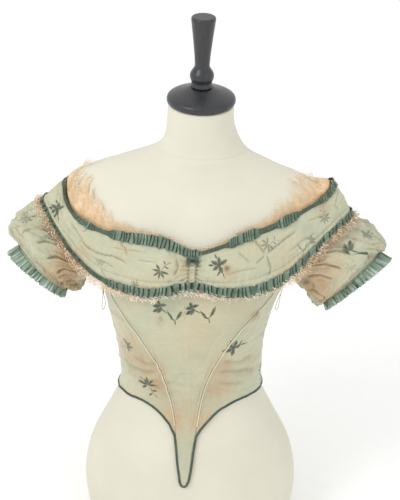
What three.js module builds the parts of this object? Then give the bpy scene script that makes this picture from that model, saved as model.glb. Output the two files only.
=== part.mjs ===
// An off-the-shoulder evening bodice of the mid nineteenth century on a limbless dress form.
// Millimetres, +Z up, the front faces -Y and +X is to the right of someone who looks at the front.
// The origin is the middle of the form's flat base.
import * as THREE from "three";

// ---------------------------------------------------------------- driving dimensions, mm
const BODICE_WALL = 1.6;
const BODICE_CLEAR = 1.9; // between the form and the inner face of the bodice
const BERTHA_WALL = 1.6;
const SLEEVE_WALL = 1.4;
const FRILL_WALL = 1.0;
const LACE_WALL = 1.0;
const SEAM_GAP = 0.3; // between two pieces that are sewn to each other
const LAY_GAP = 0.4; // between a piece and the cloth it lies on
const NECK_STAND = 1.1; // how much further off the form the bodice stands at its neckline
const NECK_TAPER = 46; // height over which it comes to stand off
const HEM_PIPING_R = 1.5;
const SEAM_PIPING_R = 0.9;
const CAP_Z = 666.4;
const FINIAL_GAP = 0.3;
const FRILL_GAP = 0.65; // between a frill and the cloth that it is sewn to
const NECK_PLEATS = 40;
const BERTHA_PLEATS = 48;
const CUFF_PLEATS = 20; // round each cuff
const SLEEVE_FOLDS = 12; // round each sleeve
const LACE_WAVES = 24; // round the neck lace
const EDGING_WAVES = 24; // round the edging below the bertha
const PLEAT_STEPS = 3; // columns in each pleat, fold or wave
const NECK_LIFT = 2.2; // height of the neck frill's pleats
const BERTHA_LIFT = 2.4; // height of the lower frill's pleats
const CUFF_LIFT = 3;
const FOLD_DEPTH = 2.2; // depth of the sleeves' gathers
const DEG = Math.PI / 180;

// Sections of the form, from its base to the top of its neck: half width, depth in front of and
// behind its own middle, power of the superellipse, and how far that middle lies back and sideways.
const FORM = {
  z: [0, 60, 120, 180, 225, 265, 305, 345, 380, 410, 435, 458, 482, 508, 530, 547, 559, 568, 577,
    585, 594, 605, 620, 640, 666],
  half: [150, 158, 148, 120, 101, 100, 104, 112, 121, 132, 145, 159, 170, 176, 176, 170, 151, 127,
    106, 85, 68, 57, 50, 46, 45],
  front: [96, 102, 99, 86, 77, 82, 90, 97, 102, 104, 103, 99, 93, 84, 74, 65, 58, 54, 51, 49, 48,
    46, 45, 45, 45],
  rear: [116, 120, 108, 88, 76, 78, 82, 87, 91, 94, 95, 94, 91, 85, 78, 70, 62, 57, 53, 51, 49, 47,
    46, 45, 45],
  power: [2.1, 2.1, 2.1, 2.1, 2.1, 2.1, 2.1, 2.1, 2.1, 2.05, 2, 1.95, 1.9, 1.85, 1.8, 1.8, 1.8, 1.8,
    1.85, 1.9, 1.95, 2, 2, 2, 2],
  back: [0, 0, 0, 0, 0, 0, 0, 0, 0, 0, 1, 2, 4, 6, 8, 9, 9, 8, 7, 6, 5, 5, 5, 5, 5],
  lean: [0, 0, 0, -1, -2, -4, -6, -7, -6, -4, -2, 0, 0, 0, 0, -2, -5, -5, -3, -1, 2, 3, 2, 0, 0],
};

// Edges of the centre front panel: the angle from the front at each height, in degrees. Below the
// waist they are the two sides of the tongue, above it the two front seams.
const FRONT_EDGE = {
  z: [105, 112, 121, 140, 163, 186, 200, 225, 245, 270, 300, 325, 350, 375, 395, 410, 440, 520],
  left: [-1.8, -2.5, -3, -4.2, -5.6, -7.5, -8.9, -12, -14.3, -17, -22, -29, -38, -50, -59, -61.5,
    -61.5, -60],
  right: [-0.5, 0.3, 0.9, 1.8, 3, 5, 6.5, 9, 11.4, 15, 21, 27.5, 35, 45, 55, 60, 61.5, 60],
};

// Lower edge of the bodice round the body, away from the tongue.
const HEM = {
  angle: [-180, -135, -95, -60, -40, -28, -18.7, -12, -7.5, 5, 8, 12, 18, 24, 35, 50, 86, 135, 180],
  z: [224, 218, 216, 222, 225, 220, 210, 198, 186, 186, 193, 202, 213, 221, 229, 233, 229, 226, 224],
};

// Seam between the side back and the centre back.
const BACK_SEAM = { z: [200, 300, 380, 440, 520], angle: [158, 155, 148, 139, 128] };

// Upper edge of the bodice under the arm, where it is the armhole: height at each angle.
const ARMHOLE = {
  angle: [42, 53, 61.5, 70, 80, 92, 104, 114, 124, 136],
  z: [492, 467, 443, 431, 423, 420, 424, 434, 456, 496],
};

// The bertha, station by station from the centre front round by +X: the angle, the height and the
// distance off the form of its upper edge, and the place of its lower edge.
const BERTHA = {
  angle: [0, 14, 25, 36, 46, 61, 79, 94, 107, 123, 140, 160, 180, 200, 220, 237, 253, 268, 274, 289,
    303, 315, 328, 345],
  z: [483, 493, 505, 513, 520.5, 531, 538, 542, 537, 526, 512, 503, 499, 501, 506, 518, 532, 531,
    514, 500, 496, 494, 494.5, 494.5],
  off: [7.1, 7.1, 7.1, 7.1, 7.1, 7.7, 11.5, 18, 14, 8.4, 7.1, 7.1, 7.1, 7.1, 7.1, 7.7, 10.7, 12.7,
    10.7, 7.7, 7.1, 7.1, 7.1, 7.1],
  lowX: [0, 42, 82, 112, 137, 167, 192, 213, 206, 170, 118, 60, 0, -60, -118, -168, -205, -219, -210,
    -195, -169, -134, -96, -50],
  lowY: [-121, -118, -106, -90, -72, -47, -28, 0, 36, 72, 100, 115, 119, 115, 100, 74, 38, 4, -12,
    -26, -47, -71, -98, -118],
  lowZ: [446, 438, 436, 442, 453, 476, 498, 507, 499, 474, 451, 441, 438, 439, 447, 467, 495, 505,
    492, 475, 449, 429, 427, 431],
};
// How far the neck lace reaches above the neckline, at shares of the way round.
const LACE = {
  share: [0, 0.04, 0.08, 0.12, 0.16, 0.2, 0.22, 0.24, 0.26, 0.28, 0.32, 0.4, 0.5, 0.6, 0.68, 0.7,
    0.72, 0.74, 0.76, 0.78, 0.8, 0.84, 0.88, 0.92, 0.96, 1],
  rise: [5, 6, 9, 14, 20, 26, 25, 21, 18, 15, 10, 7, 7, 7, 10, 17, 28, 38, 44, 42, 36, 24, 18, 13, 8,
    5],
};
const BERTHA_BULGE = 3.5; // outward swell between the two edges
const BORDER_AT = 0.8; // where the folded border along the lower edge starts
const BORDER_STEP = 1.0; // how far that border stands out
const NOTCH_DEPTH = 5; // inward pull of the gathers at the centre front
const NOTCH_WIDTH = 0.011; // as a share of the way round

// The sleeves: the ring where the puff is fullest, and where the sleeve leaves the bertha below.
const PUFF = {
  right: {
    x: [171, 189, 216, 243, 267, 246, 215, 186],
    y: [-6, -51, -59, -40, 2, 46, 58, 42],
    z: [366, 404, 449, 474, 461, 470, 436, 398],
  },
  left: {
    x: [-168, -188, -215, -247, -269, -248, -215, -183],
    y: [-6, -46, -57, -39, 2, 46, 58, 42],
    z: [368, 406, 444, 476, 459, 470, 436, 395],
  },
};
const UNDERARM = {
  right: { x: [150, 156, 147], y: [-46, 0, 50], z: [413, 396, 424] },
  left: { x: [-148, -154, -146], y: [-44, 0, 50], z: [413, 397, 423] },
};
// Cuffs: the middle, the way to the outer side and the way to the front of each ring.
const CUFF = {
  right: { middle: [220.5, -2.5, 412], outer: [36.5, 2.5, 40], front: [-3, -41, 13] },
  left: { middle: [-217.5, -2.5, 402.5], outer: [-33.5, 2.5, 30.5], front: [4, -41, 10] },
};
const CUFF_BAND = 7; // length of the band along the arm
const CUFF_FRILL = 10; // length of the frill at the inner side of the arm, from under the band
const CUFF_DROP = 8; // by which it is longer at the outer side
const CUFF_FLARE = 2.5; // by which it spreads at its edge
const CUFF_EASE = 0.4; // between the sleeve's end and the band
const CUFF_LAP = 2; // by which the frill starts further along the band
const SLEEVE_HIDDEN = 0.3; // share of a sleeve's length that the bertha covers
const SLEEVE_FULLEST = 0.7; // share of it where the puff is fullest

// ---------------------------------------------------------------- tables and surfaces
// Smooth reading of a column at a key: a cubic through the rows, its slope taken over neighbours.
function readTable(keys, values, key) {
  const last = keys.length - 1;
  let i = 0;
  while (i < last - 1 && key > keys[i + 1]) i += 1;
  const slope = (k) => {
    const lo = Math.max(k - 1, 0);
    const hi = Math.min(k + 1, last);
    return (values[hi] - values[lo]) / (keys[hi] - keys[lo]);
  };
  const h = keys[i + 1] - keys[i];
  const t = (key - keys[i]) / h;
  return (
    (2 * t ** 3 - 3 * t ** 2 + 1) * values[i] +
    (t ** 3 - 2 * t ** 2 + t) * h * slope(i) +
    (3 * t ** 2 - 2 * t ** 3) * values[i + 1] +
    (t ** 3 - t ** 2) * h * slope(i + 1)
  );
}

// Straight reading of a column between its rows.
function readStraight(keys, values, key) {
  let i = 0;
  while (i < keys.length - 2 && key > keys[i + 1]) i += 1;
  const t = THREE.MathUtils.clamp((key - keys[i]) / (keys[i + 1] - keys[i]), 0, 1);
  return values[i] + (values[i + 1] - values[i]) * t;
}

// Catmull-Rom reading of a closed column, by a position counted in rows.
function readRing(values, at) {
  const n = values.length;
  const i = Math.floor(at);
  const t = at - i;
  const v = (k) => values[(((i + k) % n) + n) % n];
  return (
    0.5 *
    (2 * v(0) +
      (v(1) - v(-1)) * t +
      (2 * v(-1) - 5 * v(0) + 4 * v(1) - v(2)) * t * t +
      (3 * v(0) - v(-1) - 3 * v(1) + v(2)) * t ** 3)
  );
}

const signedPower = (value, power) => Math.sign(value) * Math.abs(value) ** power;
const smooth = (t) => THREE.MathUtils.smoothstep(t, 0, 1);

// The point of the form at an angle from the front and a height.
function formPoint(angle, z) {
  const at = (name) => readTable(FORM.z, FORM[name], z);
  const sine = Math.sin(angle * DEG);
  const cosine = Math.cos(angle * DEG);
  const depth = cosine > 0 ? at("front") : at("rear");
  const power = 2 / at("power");
  return new THREE.Vector3(
    at("lean") + at("half") * signedPower(sine, power),
    at("back") - depth * signedPower(cosine, power),
    z,
  );
}

// Moves a point of a surface along the surface's normal there, which is found over a step each way.
function moveOut(surface, u, v, off, stepU, stepV) {
  const acrossU = surface(u + stepU, v).sub(surface(u - stepU, v));
  const acrossV = surface(u, v + stepV).sub(surface(u, v - stepV));
  const normal = acrossU.cross(acrossV).normalize();
  return surface(u, v).addScaledVector(normal, off);
}

const ANGLE_STEP = 0.1; // degrees
const HEIGHT_STEP = 0.5;
const offForm = (angle, z, off) =>
  moveOut(formPoint, angle, z, off, ANGLE_STEP, HEIGHT_STEP);

// The bertha's stations are spaced evenly along its middle line, so that pleats come out even.
const RING_STEPS = 480;
const stations = BERTHA.angle.length;
const unrolledAngles = [...BERTHA.angle, 360];

function stationAngle(at) {
  const turns = Math.floor(at / stations);
  const i = at - turns * stations;
  const keys = [-1, ...unrolledAngles.keys(), stations + 1];
  const values = [BERTHA.angle[stations - 1] - 360, ...unrolledAngles, 360 + BERTHA.angle[1]];
  return readTable(keys, values, i) + 360 * turns;
}

function berthaEdges(at) {
  const upper = offForm(stationAngle(at), readRing(BERTHA.z, at), readRing(BERTHA.off, at));
  const lower = new THREE.Vector3(
    readRing(BERTHA.lowX, at),
    readRing(BERTHA.lowY, at),
    readRing(BERTHA.lowZ, at),
  );
  return [upper, lower];
}

const ringLengths = [0];
const ringStations = [0];
let ringLast = null;
for (let k = 0; k <= RING_STEPS; k += 1) {
  const at = (k / RING_STEPS) * stations;
  const [upper, lower] = berthaEdges(at);
  const middle = upper.lerp(lower, 0.5);
  if (ringLast) {
    ringLengths.push(ringLengths[k - 1] + middle.distanceTo(ringLast));
    ringStations.push(at);
  }
  ringLast = middle;
}
const RING_LENGTH = ringLengths[RING_STEPS];

// Station at a share of the way round, 0 at the centre front.
function stationAt(s) {
  const turns = Math.floor(s);
  const at = readStraight(ringLengths, ringStations, (s - turns) * RING_LENGTH);
  return at + turns * stations;
}

// Middle face of the bertha without thickness: s round it, v from its upper to its lower edge.
function berthaBase(s, v) {
  const [upper, lower] = berthaEdges(stationAt(s));
  return upper.lerp(lower, v);
}

const BERTHA_STEP_S = 0.004; // shares, for the bertha's normal
const BERTHA_STEP_V = 0.02;

// Point of the bertha's outer face, moved out by off.
function bertha(s, v, off) {
  const inside = THREE.MathUtils.clamp(v, 0, 1);
  const fromCentre = s - Math.round(s);
  const notch = NOTCH_DEPTH * Math.exp(-((fromCentre / NOTCH_WIDTH) ** 2)) * smooth(v * 3);
  const border = BORDER_STEP * smooth((v - BORDER_AT) * 16);
  const swell = BERTHA_BULGE * 4 * inside * (1 - inside) + border - notch;
  return moveOut(
    (a, b) => berthaBase(a, 1 - b),
    s,
    1 - v,
    off + swell,
    BERTHA_STEP_S,
    BERTHA_STEP_V,
  );
}

// Height of the neckline at an angle from the front.
const neckAngles = [];
const neckHeights = [];
const neckShares = [];
for (let k = 0; k <= RING_STEPS; k += 1) {
  const at = (k / RING_STEPS) * stations;
  neckAngles.push(stationAngle(at));
  neckHeights.push(readRing(BERTHA.z, at));
  neckShares.push(ringLengths[k] / RING_LENGTH);
}
const neckHeight = (angle) => readStraight(neckAngles, neckHeights, ((angle % 360) + 360) % 360);

// Upper edge of the bodice: the neckline in front and behind, the armhole at the sides.
function bodiceTop(angle) {
  const turn = Math.abs(((((angle + 180) % 360) + 360) % 360) - 180);
  const armhole = smooth((turn - 43) / 9) * smooth((135 - turn) / 9);
  const under = readTable(ARMHOLE.angle, ARMHOLE.z, turn);
  return THREE.MathUtils.lerp(neckHeight(angle) - 1.5, under, armhole);
}

// Point of the bodice's outer face, moved out by off.
function bodice(angle, z, off) {
  const stand = NECK_STAND * smooth((z - neckHeight(angle) + NECK_TAPER) / (NECK_TAPER - 2));
  return offForm(angle, z, BODICE_CLEAR + BODICE_WALL + stand + off);
}

// ---------------------------------------------------------------- meshes
const dressedForm = new THREE.Group();
const MATERIALS = {
  silk: { color: "#cfd2bb", roughness: 0.45, metalness: 0 },
  ribbon: { color: "#466a60", roughness: 0.4, metalness: 0 },
  piping: { color: "#d8d6c2", roughness: 0.5, metalness: 0 },
  lace: { color: "#efd3b8", roughness: 0.9, metalness: 0 },
  jersey: { color: "#efe9d9", roughness: 0.9, metalness: 0 },
  wood: { color: "#232427", roughness: 0.35, metalness: 0 },
};

function addMesh(name, material, vertices, faces) {
  const geometry = new THREE.BufferGeometry();
  geometry.setAttribute("position", new THREE.Float32BufferAttribute(vertices.flat(), 3));
  let volume = 0;
  for (const [a, b, c] of faces) {
    const [p, q, r] = [a, b, c].map((k) => new THREE.Vector3(...vertices[k]));
    volume += p.dot(q.cross(r));
  }
  const outward = volume > 0 ? faces : faces.map(([a, b, c]) => [a, c, b]);
  geometry.setIndex(outward.flat());
  geometry.computeVertexNormals();
  const mesh = new THREE.Mesh(geometry, new THREE.MeshStandardMaterial(MATERIALS[material]));
  mesh.name = name;
  dressedForm.add(mesh);
}

// A sheet with thickness: the same grid on its outer and inner face, joined round its edges.
// point(u, v, face) gives a corner, face 0 outside and 1 inside; closed joins the last u to the first.
function addSheet(name, material, us, vs, point, closed = false) {
  const vertices = [];
  for (const face of [0, 1])
    for (const v of vs) for (const u of us) vertices.push(point(u, v, face).toArray());
  const columns = us.length;
  const rows = vs.length;
  const index = (i, j, face) => face * columns * rows + j * columns + (i % columns);
  const faces = [];
  const quad = (a, b, c, d) => faces.push([a, b, c], [a, c, d]);
  const cells = closed ? columns : columns - 1;
  for (let i = 0; i < cells; i += 1) {
    for (let j = 0; j < rows - 1; j += 1) {
      quad(index(i, j, 0), index(i + 1, j, 0), index(i + 1, j + 1, 0), index(i, j + 1, 0));
      quad(index(i, j, 1), index(i, j + 1, 1), index(i + 1, j + 1, 1), index(i + 1, j, 1));
    }
    quad(index(i, 0, 0), index(i, 0, 1), index(i + 1, 0, 1), index(i + 1, 0, 0));
    const top = rows - 1;
    quad(index(i, top, 0), index(i + 1, top, 0), index(i + 1, top, 1), index(i, top, 1));
  }
  if (!closed)
    for (let j = 0; j < rows - 1; j += 1) {
      const end = columns - 1;
      quad(index(0, j, 0), index(0, j + 1, 0), index(0, j + 1, 1), index(0, j, 1));
      quad(index(end, j, 0), index(end, j, 1), index(end, j + 1, 1), index(end, j + 1, 0));
    }
  addMesh(name, material, vertices, faces);
}

// A solid of closed rings one above another, flat at both ends.
function addRings(name, material, us, vs, point) {
  const vertices = [];
  for (const v of vs) for (const u of us) vertices.push(point(u, v).toArray());
  const columns = us.length;
  const faces = [];
  for (let j = 0; j < vs.length - 1; j += 1)
    for (let i = 0; i < columns; i += 1) {
      const next = (i + 1) % columns;
      const [a, b] = [j * columns + i, j * columns + next];
      faces.push([a, b, b + columns], [a, b + columns, a + columns]);
    }
  for (const [row, flip] of [[0, true], [vs.length - 1, false]]) {
    const ring = us.map((_, i) => vertices[row * columns + i]);
    const middle = [0, 1, 2].map((k) => ring.reduce((sum, p) => sum + p[k], 0) / columns);
    vertices.push(middle);
    for (let i = 0; i < columns; i += 1) {
      const [a, b] = [row * columns + i, row * columns + ((i + 1) % columns)];
      faces.push(flip ? [b, a, vertices.length - 1] : [a, b, vertices.length - 1]);
    }
  }
  addMesh(name, material, vertices, faces);
}

// A round cord along a line of points, with the surface's normal at each; closed joins its ends.
function addCord(name, material, line, radius, sides, closed) {
  const count = line.length;
  const vertices = [];
  line.forEach(({ point, normal }, k) => {
    const before = closed ? line[(k + count - 1) % count] : line[Math.max(k - 1, 0)];
    const after = closed ? line[(k + 1) % count] : line[Math.min(k + 1, count - 1)];
    const tangent = after.point.clone().sub(before.point).normalize();
    const side = normal.clone().cross(tangent).normalize();
    const up = tangent.clone().cross(side);
    for (let m = 0; m < sides; m += 1) {
      const turn = (2 * Math.PI * m) / sides;
      const corner = point.clone().addScaledVector(side, radius * Math.cos(turn));
      vertices.push(corner.addScaledVector(up, radius * Math.sin(turn)).toArray());
    }
  });
  const faces = [];
  for (let k = 0; k < (closed ? count : count - 1); k += 1)
    for (let m = 0; m < sides; m += 1) {
      const [a, b] = [k * sides + m, k * sides + ((m + 1) % sides)];
      const [c, d] = [((k + 1) % count) * sides + m, ((k + 1) % count) * sides + ((m + 1) % sides)];
      faces.push([a, b, d], [a, d, c]);
    }
  if (!closed)
    for (let m = 1; m < sides - 1; m += 1) {
      faces.push([0, m + 1, m]);
      const end = (count - 1) * sides;
      faces.push([end, end + m, end + m + 1]);
    }
  addMesh(name, material, vertices, faces);
}

const spread = (from, to, cells) =>
  Array.from({ length: cells + 1 }, (_, k) => from + ((to - from) * k) / cells);
const round = (cells) => Array.from({ length: cells }, (_, k) => k / cells);

// ---------------------------------------------------------------- the form and its turned top
const FORM_COLUMNS = 30;
const BODY_FIRST_Z = 70;
const BODY_LAST_Z = 415;
const formHeights = [0, 30, ...spread(BODY_FIRST_Z, BODY_LAST_Z, 15), ...FORM.z.filter((z) => z > 430)];
addRings("form_body", "jersey", round(FORM_COLUMNS), formHeights, (u, z) => formPoint(360 * u, z));

function addTurned(name, profile, segments) {
  const outline = profile.map(([r, z]) => new THREE.Vector2(r, z));
  const geometry = new THREE.LatheGeometry(outline, segments);
  const mesh = new THREE.Mesh(geometry, new THREE.MeshStandardMaterial(MATERIALS.wood));
  mesh.name = name;
  mesh.rotation.x = Math.PI / 2;
  mesh.position.set(0, readTable(FORM.z, FORM.back, CAP_Z - 1), CAP_Z);
  dressedForm.add(mesh);
}
const CAP_TOP = 22;
addTurned("neck_cap", [[0, 0], [46, 0], [47.3, 1.6], [47.3, 7], [45.5, 9.4], [38, 13.2], [27, 17],
  [19, 20.5], [16, CAP_TOP], [0, CAP_TOP]], 26);
const BALL = CAP_TOP + FINIAL_GAP;
addTurned("neck_finial", [[0, BALL], [15, BALL], [15.6, BALL + 2], [14.4, BALL + 5],
  [13.4, BALL + 8], [15.6, BALL + 11], [16.8, BALL + 16], [15.9, BALL + 21], [12.4, BALL + 26],
  [10, BALL + 30], [11, BALL + 46], [13.6, BALL + 71], [16.6, BALL + 96], [16.9, BALL + 99],
  [16, BALL + 101], [0, BALL + 101]], 16);

// ---------------------------------------------------------------- the bodice's panels
const halfSeam = (angle, z) => (SEAM_GAP / 2 / formPoint(angle, z).setZ(0).length()) / DEG;
const edgeAngle = (side, z) => readTable(FRONT_EDGE.z, FRONT_EDGE[side], z);
const TIP_Z = FRONT_EDGE.z[0];
const faceOff = (face) => (face ? -BODICE_WALL : 0);

// A panel lies between two seams, first and last, and two edges. Where a seam meets an edge depends
// on both, so the place is found in rounds.
const EDGE_ROUNDS = 24;
const START_Z = 300;
function addPanel(name, us, vs, first, last, bottom, top) {
  const place = (u, v) => {
    const solve = (edge) => {
      let angle = first(START_Z) * (1 - u) + last(START_Z) * u;
      for (let k = 0; k < EDGE_ROUNDS; k += 1) {
        const z = edge(angle);
        angle = 0.5 * angle + 0.5 * (first(z) * (1 - u) + last(z) * u);
      }
      return edge(angle);
    };
    const z = solve(bottom) * (1 - v) + solve(top) * v;
    const from = first(z) + halfSeam(first(z), z);
    const to = last(z) - halfSeam(last(z), z);
    return [from * (1 - u) + to * u, z];
  };
  addSheet(name, "silk", us, vs, (u, v, face) => bodice(...place(u, v), faceOff(face)));
}

const hemHeight = (angle) => readTable(HEM.angle, HEM.z, ((angle + 540) % 360) - 180);
const left = (z) => edgeAngle("left", z);
const right = (z) => edgeAngle("right", z);
const backSeam = (z) => readTable(BACK_SEAM.z, BACK_SEAM.angle, z);
const SIDE_SEAM = 93;
// The panels share their rows at each seam, so that both sides of it bend alike.
const ROOT_Z = 186; // where the tongue leaves the front seams
const SEAM_TOP_Z = 443;
const panelRows = spread(0, 1, 11);
const seamHeights = panelRows.map((v) => ROOT_Z + (SEAM_TOP_Z - ROOT_Z) * v);
const tongueHeights = [TIP_Z, 109, 116, 126, 140, 155, 171, ...seamHeights];
const centreRows = tongueHeights.map((z) => (z - TIP_Z) / (SEAM_TOP_Z - TIP_Z));
const halfColumns = [0, 0.18, 0.36, 0.53, 0.67, 0.77, 0.86, 1];
const mirrored = halfColumns.slice(1).map((c) => -c).reverse();
const centreColumns = [...mirrored, ...halfColumns].map((c) => (1 + c) / 2);
const sideColumns = [0, 0.05, 0.11, 0.18, 0.28, 0.42, 0.6, 0.8, 1];
const sideMirrored = sideColumns.map((u) => 1 - u).reverse();
addPanel("front_centre", centreColumns, centreRows, left, right, () => TIP_Z, bodiceTop);
addPanel("side_front_r", sideColumns, panelRows, right, () => SIDE_SEAM, hemHeight, bodiceTop);
addPanel("side_front_l", sideMirrored, panelRows, () => -SIDE_SEAM, left, hemHeight, bodiceTop);
const backColumns = spread(0, 1, 6);
addPanel("back_side_r", backColumns, panelRows, () => SIDE_SEAM, backSeam, hemHeight, bodiceTop);
addPanel("back_side_l", backColumns, panelRows, (z) => -backSeam(z), () => -SIDE_SEAM, hemHeight,
  bodiceTop);
addPanel("back_r", backColumns, panelRows, backSeam, () => 180, hemHeight, bodiceTop);
addPanel("back_l", backColumns, panelRows, () => -180, (z) => -backSeam(z), hemHeight, bodiceTop);

// ---------------------------------------------------------------- piping
// The hem runs from the centre back by -X down one side of the tongue, up the other and home.
const TONGUE_STEPS = [182, 171, 155, 140, 126, 116, 109.5];
const TIP_ROUND = 1.4; // height over which the tongue's tip is rounded
const downTo = [...spread(-180, -30, 15), -25, -20.5, -16.5, -13, -10.3];
const upFrom = [7.3, 10, 13.3, 17, 21, 25.5, ...spread(30, 170, 14)];
const hemPath = [
  ...downTo.map((angle) => [angle, hemHeight(angle)]),
  ...TONGUE_STEPS.map((z) => [left(z), z]),
  [left(TIP_Z), TIP_Z + TIP_ROUND],
  [left(TIP_Z) + 0.5, TIP_Z],
  [right(TIP_Z) - 0.4, TIP_Z],
  [right(TIP_Z), TIP_Z + TIP_ROUND],
  ...TONGUE_STEPS.toReversed().map((z) => [right(z), z]),
  ...upFrom.map((angle) => [angle, hemHeight(angle)]),
];

const HEM_OUT = -0.3; // the cord's middle against the bodice's outer face
const HEM_EASE = 0.5; // for the cloth's straight edges between two corners
// A path of angles and heights as points out from the bodice's face, moved aside within it.
function surfaceLine(path, outOff, sideOff, closed) {
  const count = path.length;
  const on = path.map(([angle, z]) => bodice(angle, z, outOff));
  const normals = path.map(([angle, z], k) =>
    bodice(angle, z, outOff + 1).sub(on[k]).normalize(),
  );
  return on.map((point, k) => {
    const before = closed ? on[(k + count - 1) % count] : on[Math.max(k - 1, 0)];
    const after = closed ? on[(k + 1) % count] : on[Math.min(k + 1, count - 1)];
    const tangent = after.clone().sub(before).normalize();
    const side = tangent.clone().cross(normals[k]).normalize();
    return { point: point.clone().addScaledVector(side, sideOff), normal: normals[k] };
  });
}
addCord("hem_piping", "ribbon",
  surfaceLine(hemPath, HEM_OUT, HEM_PIPING_R + SEAM_GAP + HEM_EASE, true), HEM_PIPING_R, 6, true);

// A pale cord lies on each front seam, from under the bertha to the root of the tongue.
const PIPING_GAP = 0.55;
const PIPING_LOW_Z = 196;
const pipingHeights = [PIPING_LOW_Z, ...seamHeights.slice(1, -1)];
for (const [name, edge] of [["seam_piping_r", right], ["seam_piping_l", left]])
  addCord(name, "piping",
    surfaceLine(pipingHeights.map((z) => [edge(z), z]), SEAM_PIPING_R + PIPING_GAP, 0, false),
    SEAM_PIPING_R, 6, false);

// ---------------------------------------------------------------- the bertha and its trimming
const SHOULDER_SEAM = 0.27; // shares of the way round
const berthaRows = [0, 0.2, 0.5, BORDER_AT - 0.01, BORDER_AT + 0.05, 1];
const berthaGap = SEAM_GAP / 2 / RING_LENGTH;
const berthaPieces = [
  ["bertha_front_r", 0, SHOULDER_SEAM, 21],
  ["bertha_back_r", SHOULDER_SEAM, 0.5, 18],
  ["bertha_back_l", 0.5, 1 - SHOULDER_SEAM, 18],
  ["bertha_front_l", 1 - SHOULDER_SEAM, 1, 24],
];
// The columns crowd towards the gathers at the centre front.
const crowd = (s) => {
  const pull = 0.85 * Math.exp(-16 * Math.min(s, 1 - s));
  return s - (pull * Math.sin(2 * Math.PI * s)) / (2 * Math.PI);
};
for (const [name, from, to, cells] of berthaPieces)
  addSheet(name, "silk", spread(from + berthaGap, to - berthaGap, cells).map((s) => crowd(s)),
    berthaRows, (s, v, face) => bertha(s, v, face ? -BERTHA_WALL : 0));

// A strip gathers the band at the centre front, and a small bow lies at its upper end.
const STRIP_HALF = 0.0042;
const STRIP_THICK = 1.3;
const STRIP_GAP = 0.9;
const STRIP_ENDS = [0.12, 0.86]; // shares of the bertha's height
const RIPPLE = 0.5; // half the height of the strip's gathers
addSheet("centre_gather", "silk", spread(-STRIP_HALF, STRIP_HALF, 4), spread(...STRIP_ENDS, 8),
  (s, v, face) => {
    const ripple = RIPPLE * Math.cos((v * 8 - 1) * Math.PI);
    return bertha(s, v, face ? STRIP_GAP : STRIP_GAP + STRIP_THICK + ripple);
  });

// Rises from 0 to 1 and falls again, count times round a ring.
const wave = (s, count) => 0.5 - 0.5 * Math.cos(2 * Math.PI * count * s);

// A pleated ribbon along a surface, between two shares of its length: it folds to and fro above the
// cloth that it is sewn to.
function addFrill(name, pleats, edges, lift, point) {
  addSheet(name, "ribbon", round(PLEAT_STEPS * pleats), edges, (u, v, face) => {
    const off = FRILL_GAP + lift * wave(u, pleats) + (face ? 0 : FRILL_WALL);
    return point(u, v, off);
  }, true);
}
addFrill("neck_frill", NECK_PLEATS, [-0.07, 0.12], NECK_LIFT, bertha);
addFrill("bertha_frill", BERTHA_PLEATS, [0.9, 1.07], BERTHA_LIFT, bertha);

// A bow with two loops and a knot, over the gathered strip and below the neck frill.
const BOW_HALF = 0.0085; // half its length, as a share of the way round
const BOW_V = 0.3; // its upper edge, as a share of the bertha's height
const BOW_DROOP = 0.03; // by which its ends hang lower
const KNOT_HALF = 0.3; // half the knot's width, as a share of the bow's half length
addSheet("centre_bow", "ribbon", spread(-1, 1, 8), spread(-1, 1, 2), (u, v, face) => {
  const knot = Math.exp(-((u / KNOT_HALF) ** 2));
  const height = 0.055 + 0.075 * smooth(Math.abs(u) * 1.4);
  const lift = LAY_GAP + STRIP_GAP + STRIP_THICK + RIPPLE + 0.1 + 1.2 * knot;
  const hang = BOW_DROOP * Math.abs(u);
  const thick = 1.2 + 1.3 * smooth(Math.abs(u) * 1.6) + 0.8 * knot;
  return bertha(u * BOW_HALF, BOW_V + hang + v * height, face ? lift : lift + thick);
});

// The lace that stands up inside the neckline: low at the front, and at the shoulders laid wide
// over the form, from which its edge stands off a little.
const LACE_TUCK = 7; // depth to which it is sewn in below the neckline
const LACE_INSIDE = BERTHA_WALL + SLEEVE_WALL + LACE_WALL + 1.4; // behind the bertha's outer face
const LACE_REST = 1.9; // its outer face off the form, where it lies on it
const LACE_STAND = 0.8; // by which its free edge stands off further
const LACE_WAVE = [1.2, 4.6]; // height of its waves where it is narrow and where it is wide
const laceRise = (s) => readTable(LACE.share, LACE.rise, s);
addSheet("neck_lace", "lace", round(PLEAT_STEPS * LACE_WAVES), [-1, 0, 0.25, 0.5, 0.75, 1],
  (s, v, face) => {
    const at = stationAt(s);
    const free = Math.max(v, 0);
    const rise = laceRise(s);
    const full = smooth((rise - 8) / 22);
    const z = readRing(BERTHA.z, at) + (v < 0 ? LACE_TUCK : rise) * v;
    const sewn = readRing(BERTHA.off, at) - LACE_INSIDE;
    const laid = THREE.MathUtils.lerp(sewn, Math.min(sewn, LACE_REST), smooth(free * 1.6));
    const high = THREE.MathUtils.lerp(...LACE_WAVE, full);
    const stand = (LACE_STAND + high * wave(s, LACE_WAVES)) * free ** 2;
    return offForm(stationAngle(at), z, laid + stand - (face ? LACE_WALL : 0));
  }, true);

// The frayed edging that hangs below the bertha's lower edge, and spreads most over the arms.
const EDGING_TOP = 1.012; // shares of the bertha's height
const EDGING_LONG = 0.16;
const EDGING_OUT = { front: 4.5, arm: 9.6, wave: 1.6 };
addSheet("bertha_lace", "lace", round(PLEAT_STEPS * EDGING_WAVES), [0, 0.35, 1], (s, v, face) => {
  const across = EDGING_TOP + EDGING_LONG * v;
  const arm = smooth((Math.abs(Math.sin(Math.PI * s)) - 0.22) * 5);
  const out = EDGING_OUT.front + EDGING_OUT.arm * arm + EDGING_OUT.wave * wave(s, EDGING_WAVES);
  return bertha(s, across, out * v ** 2.6 - BERTHA_WALL + (face ? 0 : LACE_WALL) - BORDER_STEP);
}, true);

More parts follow.
